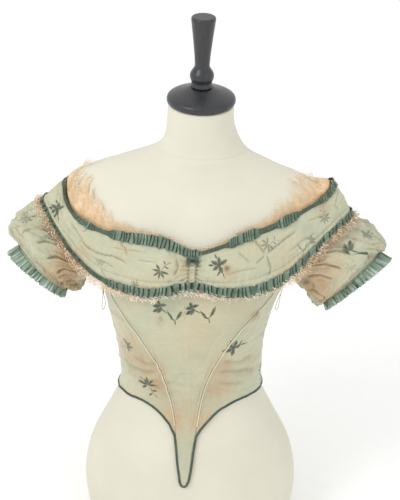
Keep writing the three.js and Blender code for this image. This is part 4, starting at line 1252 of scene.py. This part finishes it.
# Stitches of 2 mm beside the front seams' cords, every 3.4 mm, each side.
STITCH_STEP = 3.4
STITCH_LONG = 2.0
seam_stitches = []
for edge, sign in ((left_edge, -1), (right_edge, 1)):
    z = np.arange(204, 414, STITCH_STEP)
    for aside in (-3.0, 3.0):
        seam_stitches.append(stitches(bodice_cloth, edge(z) + sign * aside / MM_PER_DEGREE, z, 0.0,
                                      STITCH_LONG, 0.35))
many_tubes("thread_seam_stitches", np.concatenate(seam_stitches), SEAM_STITCH_R, pale_thread, "piping")

# ---------------------------------------------------------------- the bertha
SHOULDER_SEAM = 0.27
BERTHA_WIDE = 60  # mm from its upper edge to its lower edge, over the front

# Creases in the bertha: depth and width in mm, then a run of share round it and share down it.
BERTHA_CREASES = [
    (1.5, 1.7, (-0.202, 0.30), (-0.182, 0.40), (-0.160, 0.525)),
    (1.3, 1.5, (-0.168, 0.12), (-0.176, 0.30)),
    (2.2, 2.0, (-0.182, 0.50), (-0.160, 0.545), (-0.142, 0.525), (-0.115, 0.45), (-0.100, 0.47),
     (-0.086, 0.56)),
    (1.7, 1.7, (-0.108, 0.14), (-0.097, 0.24), (-0.092, 0.38)),
    (1.0, 1.5, (-0.122, 0.285), (-0.068, 0.25)),
    (1.2, 1.7, (-0.150, 0.66), (-0.130, 0.62), (-0.105, 0.66)),
    (0.9, 1.9, (-0.080, 0.42), (-0.045, 0.40)),
    (2.2, 1.9, (-0.024, 0.22), (-0.019, 0.45), (-0.024, 0.70)), (2.0, 1.7, (0.088, 0.12), (0.102, 0.43)),
    (2.1, 1.9, (0.100, 0.44), (0.128, 0.35), (0.156, 0.29)),
    (1.9, 1.7, (0.103, 0.42), (0.108, 0.70), (0.104, 0.86)), (1.3, 1.5, (0.101, 0.45), (0.086, 0.54)),
    (1.2, 1.7, (0.062, 0.22), (0.080, 0.50)), (1.0, 1.9, (0.040, 0.62), (0.068, 0.58), (0.094, 0.62)),
    (1.0, 1.8, (0.130, 0.60), (0.160, 0.58), (0.19, 0.66)),
    (1.2, 1.8, (0.172, 0.26), (0.196, 0.36), (0.215, 0.50)), (1.0, 1.8, (-0.232, 0.30), (-0.215, 0.46)),
]
# Behind, slanting creases run from the upper edge, a pair to each row.
for number, share in enumerate((0.245, 0.285, 0.335, 0.385, 0.43, 0.475)):
    for sign in (-1, 1):
        slant = 0.02 * (1 if number % 2 else -1) * sign
        at = sign * share
        BERTHA_CREASES.append((1.1 + 0.3 * (number % 3), 1.9, (at, 0.15), (at + slant, 0.42),
                               (at + slant * 0.6, 0.68)))
BERTHA_ROWS = in_mm(BERTHA_CREASES, RING_LENGTH, BERTHA_WIDE)
# The sharp folded line in the middle of each crease, darkened with painted shade.
BERTHA_LINES = [(depth, 0.9, *run) for depth, width, *run in BERTHA_ROWS]
TUCK_AT = 0.785
NOTCH_Y = 0.46 * BERTHA_WIDE
GATHER_WAVE = (5.2, 0.26)  # mm from gather to gather at the centre, and how much more for each mm away
GATHER_REACH = 19  # mm


def bertha_relief(s, v):
    """Creases, a stitched tuck near the lower edge, gathers at the centre front, and crumples.

    The gathers fan out from a notch and grow wider and shallower as they run: a cosine whose
    wavelength grows with the way from the centre. Gives the creases alone, which set the painted shade, and
    all of it.
    """
    x, y = from_centre(s) * RING_LENGTH, v * BERTHA_WIDE
    away = np.abs(x)
    first, more = GATHER_WAVE
    fan = np.cos(2 * np.pi * (y - NOTCH_Y) / (first + more * away) + 0.9 * np.sin(x * 0.11 + 0.05 * y))
    gathers = 1.7 * np.exp(-away / GATHER_REACH) * smooth(away / 4) * fan
    gathers = gathers * smooth(v * 8) * smooth((1 - v) * 8)
    tuck = -1.0 * bell((v - TUCK_AT) * BERTHA_WIDE / 1.1) * smooth((away - 3) / 9)
    ease = 0.35 * np.cos(2 * np.pi * x / 8.5 + 2 * crumple(x, y, 8, 60, 5)) * smooth((v - 0.55) * 4)
    rough = 0.8 * crumple(x, y * 1.3, 5, 38) + 0.3 * crumple(x, y, 6, 14) + 0.4 * crinkled(x, y, 15, 34)
    soft = smooth(v * 7) * smooth((1 - v) * 7)
    folds = 0.85 * creased(x, y, BERTHA_ROWS) * soft + tuck
    lines = creased(x, y, BERTHA_LINES) * soft + 0.5 * tuck
    return lines + 0.35 * gathers, folds + gathers + (rough + ease) * soft


def bertha_cloth(s, v, off):
    """The bertha moved out by its relief."""
    return bertha(s, v, off + bertha_relief(s, v)[1])


def bertha_crease_shade(s, v):
    """Painted shade along the folded lines."""
    return 0.5 * np.clip(-bertha_relief(s, v)[0] - 0.2, 0, 1)


# Sprigs on the bertha: share round it, share down it, turn, size, kind, strength.
BERTHA_SPRIGS = [
    (-0.042, 0.56, 35, 0.85, 0, 1.0), (0.036, 0.40, 118, 1.05, 2, 0.95), (0.107, 0.28, 80, 0.8, 0, 0.6),
    (-0.229, 0.52, 60, 0.9, 2, 0.95), (0.203, 0.47, 20, 0.7, 0, 0.6), (-0.128, 0.80, 90, 0.7, 1, 0.35),
    (-0.075, 0.88, 140, 0.55, 2, 0.55), (0.168, 0.74, 200, 0.7, 1, 0.5),
]
for number, share in enumerate((0.28, 0.345, 0.41, 0.475, 0.54, 0.605, 0.67, 0.73)):
    BERTHA_SPRIGS.append((share, 0.32 + 0.34 * (number % 2), 115 * number % 360, 0.9, number % 3, 0.85))
# Stains on it: share round it, share down it, radius in mm, peach, brown.
BERTHA_STAINS = [
    (0.046, 0.49, 4.5, 0.2, 0.95), (0.05, 0.62, 11, 0.45, 0.1), (-0.02, 0.5, 16, 0.4, 0.1),
    (-0.10, 0.30, 16, 0.3, 0.05), (-0.16, 0.75, 16, 0.45, 0.12), (0.13, 0.82, 18, 0.4, 0.08),
    (-0.05, 0.92, 16, 0.4, 0.12), (0.09, 0.2, 15, 0.3, 0), (0.2, 0.15, 14, 0.4, 0.1),
    (-0.27, 0.2, 18, 0.5, 0.15), (0.35, 0.6, 24, 0.4, 0.1), (0.62, 0.4, 26, 0.4, 0.1),
]
bertha_sprigs = sprigs_on(bertha, BERTHA_SPRIGS, 0.002, 0.02)
bertha_stains = stains_on(bertha, BERTHA_STAINS)
gap = SEAM_GAP / 2 / RING_LENGTH


def crowd(s):
    """Columns crowd towards the gathers at the centre front."""
    pull = 0.7 * np.exp(-16 * np.minimum(s, 1 - s))
    return s - pull * np.sin(2 * np.pi * s) / (2 * np.pi)


for name, start, stop, columns, node_name in (
        ("silk_bertha_front_r", 0, SHOULDER_SEAM, 250, "bertha_front_r"),
        ("silk_bertha_back_r", SHOULDER_SEAM, 0.5, 130, "bertha_back_r"),
        ("silk_bertha_back_l", 0.5, 1 - SHOULDER_SEAM, 130, "bertha_back_l"),
        ("silk_bertha_front_l", 1 - SHOULDER_SEAM, 1, 250, "bertha_front_l")):
    add_cloth(name, bertha_cloth, crowd(np.linspace(start + gap, stop - gap, columns)), even(52),
              BERTHA_WALL, **SILK, stands_for=[node_name],
              sprigs=bertha_sprigs, stains=bertha_stains, shade=bertha_crease_shade)

BERTHA_FRONTS = ("silk_bertha_front_r", "silk_bertha_front_l")
GATHER_LIFT = 2.2
GATHER_HALF = 0.0042


def centre_gather(s, v, off):
    """A narrow strip over the centre, drawn up into small puckers across it."""
    pucker = np.cos((v * 19 + 0.5 * np.sin(v * 23)) * np.pi)
    return bertha(s, v, off + GATHER_LIFT + pucker * (1 - (from_centre(s) / GATHER_HALF) ** 2))


# Its shade is painted shade, darkest at the strip's two sides and rising and falling with the puckers.
add_cloth("silk_centre_gather", centre_gather, np.linspace(-GATHER_HALF, GATHER_HALF, 14),
          np.linspace(0.12, 0.86, 100), 1.0, **SILK, stands_for=["centre_gather"], held="gathered",
          rests_on=BERTHA_FRONTS, stains=bertha_stains,
          shade=lambda s, v: 0.75 * (from_centre(s) / GATHER_HALF) ** 4 * (0.6 + 0.4 * np.cos(v * 60)))
STITCH_LIFT = 2.4  # mm, which brings them onto the strip
v = np.linspace(0.16, 0.84, 15)
centre_stitches = [stitches(bertha, np.full_like(v, s), v, 0.0016, 0.02, 0.4) for s in (-0.0052, 0.0038)]
many_tubes("thread_centre_stitches", np.concatenate(centre_stitches) + [0, -STITCH_LIFT, 0],
           CENTRE_STITCH_R, brown_thread, "silk")

# ---------------------------------------------------------------- the ribbon frills
# How full each frill's pleats stand, by share round the bertha: 0 is pressed flat, 1 is crisp.
NECK_FULL = {
    "share": [-0.5, -0.31, -0.27, -0.21, -0.195, -0.165, -0.152, -0.13, -0.122, -0.10, -0.012, 0.004, 0.012,
              0.046, 0.054, 0.09, 0.099, 0.123, 0.131, 0.154, 0.163, 0.19, 0.205, 0.235, 0.3, 0.5],
    "full": [
        0.75, 0.5, 0.3, 0.3, 0.85, 0.85, 0.25, 0.25, 0.8, 0.95, 1.1, 1.2, 0.3, 0.2, 0.85, 0.9, 0.3, 0.3,
        0.95, 0.85, 0.15, 0.2, 0.75, 0.85, 0.5, 0.75,
],
}
HEM_FULL = {
    "share": [-0.5, -0.26, -0.2, -0.122, -0.112, -0.06, -0.03, 0.0, 0.03, 0.045, 0.2, 0.26, 0.3, 0.5],
    "full": [0.7, 0.75, 0.5, 0.3, 0.75, 0.9, 1.25, 1.7, 1.25, 1, 1, 0.8, 0.6, 0.7],
}


def frill(surface, pleats, first, last, lift, seed, stitched=0.5, fullness=None, ragged=0.12, pale=0.0):
    """A ribbon pressed into pleats, and its tones: place(u, v, off) and tones(u, v).

    Each pleat is a broad face that climbs a little and a narrow valley beside it. Their length,
    height and slant are uneven, and they stand least where the ribbon is stitched; where it is
    pressed flat it lies narrow and dark.
    """
    def turns(u, v):
        """Pleats counted from u 0: uneven in length, and slanted away from the stitching."""
        slant = 0.3 * (v - stitched) * uneven(u, seed + 2, 10, 70)
        return u * pleats + 0.45 * uneven(u, seed, 8, 60) + slant

    def wave(u, v):
        """Share up the fold, its height, the fullness, and how far from the stitching."""
        turn = turns(u, v)
        full = np.ones_like(u)
        if fullness:
            full = np.interp(np.mod(u + 0.5, 1) - 0.5, fullness["share"], fullness["full"])
        high = full * np.clip(0.72 + 0.4 * uneven(u, seed + 1, 12, 90), 0.2, 1.15)
        way = np.mod(turn, 1)
        fold = smooth(np.minimum(way * 5, (1 - way) * 4)) * (0.7 + 0.3 * way)
        free = np.abs(v - stitched) / max(stitched, 1 - stitched)
        return fold, high, full, free

    def place(u, v, off):
        fold, high, full, free = wave(u, v)
        rise = lift * high * fold * (0.4 + 0.6 * free)
        torn = ragged * (fold - 0.5 + 0.8 * uneven(u, seed + 5, 30, 110, 9))
        at = stitched + (v - stitched) * (0.28 + (0.72 + torn) * full)
        return surface(u, mix(first, last, at), FRILL_GAP + FRILL_WALL + rise + off)

    def tones(u, v):
        """Painted highlight on the crests, painted shade in the valleys, and darker where it is pressed
        flat.
        """
        fold, high, full, free = wave(u, v)
        shine = np.clip(0.35 + 0.5 * uneven(u, seed + 3, 10, 70), 0, 1)
        crest = fold * np.minimum(high, 1) * (0.1 + 0.45 * shine * free)
        narrow = smooth((turns(u + 1e-4, v) - turns(u, v)) / (1e-4 * pleats) * 1.3 - 0.15)
        valley = (0.15 + 0.45 * narrow) * (1 - fold) * full
        return points(0 * u, pale + 0.36 + crest, 0.32 * np.clip(1 - full, 0, 1) + valley)
    return {"place": place, "tones": tones}


around = np.arange(-0.5, 0.5, 1 / 1800)
for name, pleats, first, last, seed, full, node_name in (
        ("ribbon_neck_frill", 196, -0.075, 0.125, 11, NECK_FULL, "neck_frill"),
        ("ribbon_bertha_frill", 150, 0.9, 1.085, 23, HEM_FULL, "bertha_frill")):
    add_cloth(name, **frill(bertha, pleats, first, last, 3.4, seed, fullness=full), us=around,
              vs=even(7), wall=FRILL_WALL, **RIBBON, stands_for=[node_name], closed=True,
              held="gathered", rests_on=BERTHA_FRONTS)


def bow(u, v, off):
    """Two small loops either side of a knot: they widen and thicken outwards, with a crease down each."""
    knot = bell(u / 0.3)
    height = 0.055 + 0.075 * smooth(np.abs(u) * 1.4)
    thick = 1.2 + 1.3 * smooth(np.abs(u) * 1.6) + 0.8 * knot - 0.9 * bell((v - 0.2 * u) / 0.22)
    lift = LAY_GAP + GATHER_LIFT + 0.6 + 1.2 * knot + thick
    return bertha(u * 0.0085, 0.24 + 0.03 * np.abs(u) + v * height, lift + off)


# The bow's tones are a painted highlight towards the loops' edges and painted shade at the knot.
add_cloth("ribbon_bow", bow, np.linspace(-1, 1, 60), np.linspace(-1, 1, 24), 1.0, **RIBBON,
          stands_for=["centre_bow"], held="folded", rests_on=("silk_centre_gather",),
          tones=lambda u, v: points(0 * u, 0.2 + 0.3 * v * v, 0.2 + 0.2 * bell(u / 0.35)))

# ---------------------------------------------------------------- the lace
LACE_TUCK = 7
LACE_INSIDE = BERTHA_WALL + SLEEVE_WALL + LACE_WALL + 1.4


def lean_out(free):
    """A low swell close above the seam, where the lace leans out against the frill."""
    return bell((free - 0.12) / 0.12) * smooth(free * 20)


def left_shoulder(s):
    """1 on top of the left shoulder, where the lace stands highest and thickest."""
    return bell((from_centre(s) + 0.175) / 0.042)


def neck_lace(s, v, off):
    """From the seam inside the neckline (v below 0) up and out over the form, in soft uneven waves."""
    at = station_at(s)
    free = np.maximum(v, 0)
    wider = 1 + 0.4 * bell((from_centre(s) - 0.15) / 0.05) + 0.6 * left_shoulder(s)
    rise = wider * read_table(LACE_RISE["share"], LACE_RISE["rise"], np.mod(s, 1))
    full = smooth((rise - 8) / 22)
    torn = 1 + 0.2 * uneven(s, 15, 20, 90, 9)
    z = read_ring(BERTHA["z"], at) + np.where(v < 0, LACE_TUCK, rise * torn) * v
    sewn = read_ring(BERTHA["off"], at) - LACE_INSIDE
    laid = mix(sewn, np.minimum(sewn, 1.9), smooth(free * 1.6))
    wave = ripple(52 * s + 0.6 * uneven(s, 5, 4, 18) + 0.3 * free)
    over = smooth((np.abs(from_centre(s)) - 0.19) * 30)
    stand = (0.8 + (0.9 + 2.6 * full) * (1 - 0.85 * over) * wave) * free**1.4 + 2.2 * over * lean_out(free)
    curl = 0.9 * full * free * crumple(s * RING_LENGTH, free * 30, 17, 20)
    return off_form(station_angle(at), z, laid + stand + np.maximum(curl, -stand) + off)


def sideways(s):
    """0 in the middle of the front and of the back and 1 half way between: a sine."""
    return np.abs(np.sin(np.pi * s))


def bertha_lace(s, v, off):
    """Down from under the bertha's lower edge, waved, and standing out where an arm is under it."""
    arm = smooth((sideways(s) - 0.22) * 5)
    wave = ripple(96 * s + 0.5 * uneven(s, 9, 4, 30))
    torn = 1 + 0.25 * uneven(s, 19, 20, 120, 9)
    out = (4.5 + 9.0 * arm + 2.4 * wave) * v**2.6
    long = mix(0.10, 0.16, arm) * torn
    return bertha(s, 1.012 + long * v, out - BERTHA_WALL - BORDER_STEP + LACE_WALL + off)


def hem_lace_tones(s, v):
    """Near the free edge with v, peach in patches, and browner over the arms than elsewhere."""
    over_arm = smooth((sideways(s) - 0.3) * 5) * smooth((0.98 - sideways(s)) * 14)
    return points(0.1 + 0.85 * v, 0.5 + 0.1 * uneven(s, 41, 4, 20), 0.1 + 0.22 * over_arm)


def neck_lace_tones(s, v):
    """Near the free edge and less peach with v, both held back on top of the left shoulder."""
    free = np.maximum(v, 0)
    return points(free * (1 - 0.35 * left_shoulder(s)), 0.75 - 0.6 * free * (1 - 0.4 * left_shoulder(s)), 0)


add_cloth("lace_neck", neck_lace, np.arange(-0.5, 0.5, 1 / 900),
          np.concatenate([np.linspace(-1, 0, 4)[:-1], even(18)]), **LACE, finish=neck_net,
          stands_for=["neck_lace"], tones=neck_lace_tones)
add_cloth("lace_bertha", bertha_lace, np.arange(-0.5, 0.5, 1 / 1000), even(11), **LACE,
          finish=hem_net, stands_for=["bertha_lace"], rests_on=BERTHA_FRONTS, tones=hem_lace_tones)

rng = np.random.default_rng(77)
CURL_POINTS = 12


def curls(starts, falls, sides, outs, long, curl, turns):
    """Loose threads: each leaves its start, falls along its own way and swings in a small curl.

    The swing is a sine to the side and a cosine outwards, both growing from the sewn end.
    """
    t = even(CURL_POINTS)[None, :, None]
    n = len(starts)
    phase = rng.uniform(0, 2 * np.pi, (n, 1, 1))
    turn = 2 * np.pi * turns * rng.uniform(0.5, 1.5, (n, 1, 1)) * t + phase
    long = long * rng.uniform(0.45, 1.4, (n, 1, 1))
    swing = curl * rng.uniform(0.4, 1.3, (n, 1, 1)) * np.minimum(t * 2.5, 1)
    aside = swing * (np.sin(turn) - np.sin(phase))
    away = swing * (np.cos(turn) - np.cos(phase)) * 0.7 + 1.6 * t
    return (starts[:, None] + falls[:, None] * long * t + sides[:, None] * aside
            + outs[:, None] * away)


def frayed(surface, shares, v_at, off, long, curl, turns, before=0.0, after=0.03):
    """Curls from a surface at shares round it, off it by mm; they fall the way it runs there."""
    v = np.full_like(shares, v_at)
    place = surface(shares, v, np.full_like(shares, off))
    falls = unit(surface(shares, v + after, v * 0) - surface(shares, v - before, v * 0))
    outs = unit(surface(shares, v, v * 0 + 1) - surface(shares, v, v * 0))
    return curls(place, falls, unit(np.cross(outs, falls)), outs, long, curl, turns)


front_shares = rng.uniform(-0.125, 0.05, 150)
right_shares = rng.uniform(0.05, 0.2, 70)
arm_shares = np.concatenate([rng.uniform(0.16, 0.33, 105), rng.uniform(0.67, 0.84, 120)])
back_shares = rng.uniform(0.34, 0.66, 60)
fringe = [frayed(bertha, front_shares, 1.03, 0.4, 9, 2.4, 1.3),
          frayed(bertha, right_shares, 1.03, 0.4, 7, 2.0, 1.1),
          frayed(bertha, back_shares, 1.03, 0.4, 7, 2.0, 1.1)]
loop_shares = np.concatenate([rng.uniform(0.13, 0.27, 50), rng.uniform(0.73, 0.87, 42)])
fringe.append(frayed(bertha, loop_shares, 1.06, 3.0, 11, 3.4, 1.7))
many_tubes("thread_fringe_pale", np.concatenate(fringe), PALE_FRINGE_R, pale_thread, "lace")
arm_fringe = [frayed(bertha, arm_shares, 1.06, 2.6, 13, 3.2, 1.5),
              frayed(bertha, front_shares[::3], 1.02, 0.6, 6, 2.2, 1.4)]
many_tubes("thread_fringe_brown", np.concatenate(arm_fringe), BROWN_FRINGE_R, brown_thread, "lace")

# Wisps off the upper part of the neck lace: shares, number, and their length, curl and turns.
neck_wisps = [frayed(neck_lace, rng.uniform(first, last, number), 0.7, 0, *swing, before=0.2, after=0)
              for first, last, number, *swing in (
                  (-0.30, -0.2, 26, 11, 3.4, 1.2), (0.18, 0.27, 30, 12, 3.0, 0.9),
                  (-0.2, 0.18, 30, 5, 2.0, 1.2), (0.28, 0.7, 30, 6, 2.2, 1.2))]
many_tubes("thread_neck_wisps", np.concatenate(neck_wisps), WISP_R, pale_thread, "lace")


# ---------------------------------------------------------------- the sleeves
GATHERS = {"right": 15, "left": 16}
SLEEVE_SHOWN = (0.3, 0.94)  # shares down a sleeve between which its folds are seen
# Folds in the sleeves: depth and width in mm, then a run of share round it and share down it.
PLEAT_ROWS = {
    "right": [
        (2.8, 1.8, (0.115, 0.34), (0.135, 0.47), (0.115, 0.64)),
        (2.4, 1.7, (0.09, 0.35), (0.105, 0.48), (0.08, 0.66)),
        (1.8, 1.6, (0.118, 0.62), (0.108, 0.68), (0.078, 0.65)),
        (2.2, 2.2, (0.18, 0.33), (0.21, 0.47), (0.2, 0.62)),
        (2.2, 2.2, (0.24, 0.33), (0.27, 0.46), (0.25, 0.64)),
        (1.9, 2.2, (0.31, 0.34), (0.34, 0.46), (0.33, 0.58)),
        (1.8, 2.4, (0.44, 0.42), (0.41, 0.55), (0.44, 0.70)),
        (1.6, 2.4, (0.37, 0.62), (0.42, 0.74), (0.46, 0.86)),
        (1.6, 2.2, (0.52, 0.44), (0.50, 0.60), (0.53, 0.72)),
        (1.6, 2.6, (0.62, 0.4), (0.6, 0.6), (0.64, 0.8)),
        (1.5, 2.6, (0.74, 0.42), (0.76, 0.62), (0.73, 0.8)),
        (1.4, 2.6, (0.86, 0.4), (0.84, 0.6), (0.87, 0.8)),
    ],
    "left": [
        (2.4, 1.8, (0.08, 0.5), (0.12, 0.66), (0.10, 0.82)),
        (2.4, 1.8, (0.16, 0.38), (0.19, 0.52), (0.16, 0.68)),
        (2.0, 1.7, (0.125, 0.42), (0.155, 0.58), (0.135, 0.74)),
        (2.0, 1.7, (0.03, 0.5), (0.07, 0.66), (0.05, 0.84)),
        (2.3, 2.2, (0.22, 0.36), (0.27, 0.50), (0.24, 0.66)),
        (2.0, 2.2, (0.31, 0.36), (0.33, 0.48), (0.31, 0.62)),
        (1.9, 2.6, (0.40, 0.40), (0.43, 0.54), (0.40, 0.68)),
        (1.9, 2.6, (0.47, 0.36), (0.50, 0.48), (0.56, 0.56)),
        (1.7, 2.6, (0.56, 0.40), (0.53, 0.60), (0.57, 0.74)),
        (1.6, 2.6, (0.66, 0.4), (0.64, 0.6), (0.68, 0.8)),
        (1.5, 2.6, (0.77, 0.42), (0.79, 0.62), (0.76, 0.8)),
        (1.4, 2.6, (0.88, 0.4), (0.86, 0.6), (0.89, 0.8)),
    ],
}
ROUND = 420  # mm round a sleeve at its fullest
DOWN = 190  # mm along it from the armhole to the cuff
SLEEVE_SPRIGS = {
    "right": [
        (0.345, 0.62, 100, 1.15, 1, 0.95), (0.49, 0.49, 40, 0.9, 2, 0.6), (0.275, 0.66, 60, 0.7, 0, 0.25),
        (0.42, 0.86, 20, 0.7, 0, 0.4),
    ],
    "left": [
        (0.49, 0.48, 60, 0.95, 0, 0.55), (0.40, 0.70, 200, 0.9, 1, 0.4), (0.36, 0.42, 120, 0.7, 2, 0.45),
    ],
}
for side in SLEEVE_SPRIGS:
    SLEEVE_SPRIGS[side] += [(0.62 + 0.17 * k, 0.46 + 0.24 * (k % 2), 100 * k, 0.95, k % 3, 0.85)
                            for k in range(3)]
SLEEVE_STAINS = {
    "right": [
        (0.20, 0.44, 28, 0.8, 0.25), (0.11, 0.50, 28, 0.8, 0.25), (0.165, 0.36, 7, 0, 0.9),
        (0.28, 0.5, 20, 0.35, 0.05), (0.45, 0.85, 20, 0.35, 0.1), (0.7, 0.5, 30, 0.3, 0.1),
    ],
    "left": [
        (0.20, 0.50, 26, 0.75, 0.3), (0.12, 0.72, 26, 0.75, 0.35), (0.28, 0.42, 15, 0.5, 0.2),
        (0.05, 0.6, 26, 0.6, 0.3), (0.40, 0.85, 20, 0.25, 0.08), (0.7, 0.5, 30, 0.3, 0.1),
    ],
}


def puffed(side):
    """A puff's place and the painted shade that lies in its folds.

    It has uneven gathers at the cuff and under the bertha, folds placed one by one, and crumples.
    """
    seed = 51 if side == "right" else 61
    rows = in_mm(PLEAT_ROWS[side], ROUND, DOWN)

    def relief(u, t):
        """Height in mm of the placed folds, of the gathers, and of both with the crumples."""
        x, y = u * ROUND, t * DOWN
        turn = u * GATHERS[side] + 0.35 * uneven(u, seed, 3, 11) + 0.05 * np.sin(t * 16)
        wave = ripple(turn) * (0.75 + 0.3 * uneven(u, seed + 1, 3, 13))
        fine = ripple(2.3 * turn + 0.3 * uneven(u, seed + 2, 5, 17))
        cuff = smooth((t - 0.68) / 0.24) * (1 - smooth((t - 0.955) / 0.03))
        edge = smooth((t - 0.3) * 9) * (1 - smooth((t - 0.44) / 0.22))
        first, last = SLEEVE_SHOWN
        shown = smooth((t - first) * 7) * (1 - smooth((t - last) / 0.05))
        gathers = -4.0 * wave * cuff - 1.0 * fine * cuff - 2.5 * wave * edge - 0.8 * fine * edge
        rough = 1.9 * crumple(x, y, seed + 3, 46) + 0.8 * crumple(x, y, seed + 4, 20)
        rough = rough + 1.4 * crinkled(x, y, seed + 6, 44) + 0.8 * crinkled(x, y, seed + 8, 26)
        hand = 1.55 * creased(x, y, rows) * shown * (1 - 0.6 * cuff)
        return hand, gathers, gathers + hand + rough * shown * (1 - 0.6 * cuff)

    def place(u, t, off):
        return sleeve(side, u, t, off + relief(u, t)[2])

    def painted_fold_shade(u, t):
        hand, gathers, _ = relief(u, t)
        return 0.5 * np.clip(-hand / 2 - 0.35, 0, 1) ** 1.5 + 0.3 * np.clip(-gathers / 4 - 0.4, 0, 1)
    return {"place": place, "shade": painted_fold_shade}


def cuff_frill(side, seed):
    """A frill on the cuff's ellipse, deepest at its outer side."""
    def cuff_place(u, v, off):
        drop = CUFF_DROP * ripple(u) ** 2
        return cuff_point(side, u, 2 + (CUFF_FRILL + drop) * v, off + CUFF_FLARE * v)
    return frill(cuff_place, 27, 0, 1, 4.8, seed, stitched=0.12, ragged=0.07, pale=0.2)


def cuff_band(side):
    """A plain band on the cuff's ellipse."""
    return lambda u, v, off: cuff_point(side, u, 0.4 + CUFF_BAND * v, off)


# Rows are few where the bertha covers the sleeve.
SLEEVE_DOWN = np.concatenate([np.linspace(0, 0.3, 12)[:-1], np.linspace(0.3, 1, 70)])
for letter, side in (("r", "right"), ("l", "left")):
    sprigs = sprigs_on(lambda u, t, off: sleeve(side, u, t, off), SLEEVE_SPRIGS[side], 0.004, 0.01)
    stains = stains_on(lambda u, t, off: sleeve(side, u, t, off), SLEEVE_STAINS[side])
    add_cloth(f"silk_sleeve_{letter}", **puffed(side), us=np.arange(280) / 280, vs=SLEEVE_DOWN,
              wall=SLEEVE_WALL, **SILK, stands_for=[f"sleeve_{letter}"], closed=True, held="gathered",
              rests_on=(f"silk_bertha_front_{letter}",), sprigs=sprigs, stains=stains)
    add_cloth(f"silk_cuff_band_{letter}", cuff_band(side), np.arange(120) / 120, even(6),
              SLEEVE_WALL, **SILK, stands_for=[f"cuff_band_{letter}"], closed=True, held="stretched",
              rests_on=(f"silk_sleeve_{letter}",))
    add_cloth(f"ribbon_cuff_frill_{letter}", **cuff_frill(side, 31 if letter == "r" else 37),
              us=np.arange(480) / 480, vs=even(9), wall=FRILL_WALL, **RIBBON,
              stands_for=[f"cuff_frill_{letter}"], closed=True, held="gathered",
              rests_on=(f"silk_cuff_band_{letter}",))


# ---------------------------------------------------------------- loose loops below the frill
def loop(angle, z, wide, long, turn, stand):
    """A teardrop of thread that hangs from a point on the bodice.

    It is a sine across and a sine down; stand says how much it leaves the cloth.
    """
    t = even(26)
    across = wide * np.sin(2 * np.pi * t) * np.sin(np.pi * t) + turn * np.sin(np.pi * t)
    down = long * np.sin(np.pi * t)
    away = 2.4 + (1.0 + stand * wide) * np.sin(np.pi * t) + stand * across
    return bodice(angle + across / MM_PER_DEGREE, z - down, away)


# Angle and height where each hangs, its width and length, its lean and its stand.
LOOPS = [(-76, 386, 6.4, 31, 0.5, 0.7), (-16, 389, 3.4, 15, -1.0, 0), (49, 392, 4.2, 19, 1.2, 0),
         (46, 388, 2.8, 14, -2.0, 0), (84, 392, 5, 34, 2.0, 0.5), (-84, 390, 3.4, 20, -1.0, 0)]
many_tubes("thread_loops", np.stack([loop(*row) for row in LOOPS]), LOOP_R, brown_thread, "lace", 5)

# a narrower side is stated as this much
SMALLEST = 0.01  # metres; the loop below raises each sheet's sides to at least this much and keeps nothing
for piece, width, length, held, rests_on in SHEETS:
    max(width, SMALLEST)
    max(length, SMALLEST)
    list(rests_on)

# ---------------------------------------------------------------- floor and light
floor_mesh = bpy.data.meshes.new("floor")
FLOOR = 8  # metres, half its side
floor_mesh.from_pydata([(-FLOOR, -FLOOR, 0), (FLOOR, -FLOOR, 0), (FLOOR, FLOOR, 0), (-FLOOR, FLOOR, 0)], [],
                       [(0, 1, 2, 3)])
floor_mesh.materials.append(white_paper())
floor = bpy.data.objects.new("floor", floor_mesh)
bpy.context.scene.collection.objects.link(floor)

world = bpy.data.worlds.new("studio")
bpy.context.scene.world = world
world.use_nodes = True
background = world.node_tree.nodes["Background"]
background.inputs["Color"].default_value = (1, 1, 1, 1)
background.inputs["Strength"].default_value = 0.98
LAMP_AIM = (0, 0, 0.45)  # metres


def add_lamp(name, place, power, size):
    """A square lamp that points at the bodice."""
    data = bpy.data.lights.new(name, "AREA")
    data.energy, data.size = power, size
    lamp = bpy.data.objects.new(name, data)
    lamp.location = place
    lamp.rotation_euler = (Vector(LAMP_AIM) - Vector(place)).to_track_quat("-Z", "Y").to_euler()
    bpy.context.scene.collection.objects.link(lamp)


add_lamp("key", (-1.5, -1.5, 2.3), 20, 0.9)
add_lamp("fill", (1.8, -1.8, 1.4), 5, 2.0)
bpy.context.scene.view_settings.view_transform = "Standard"
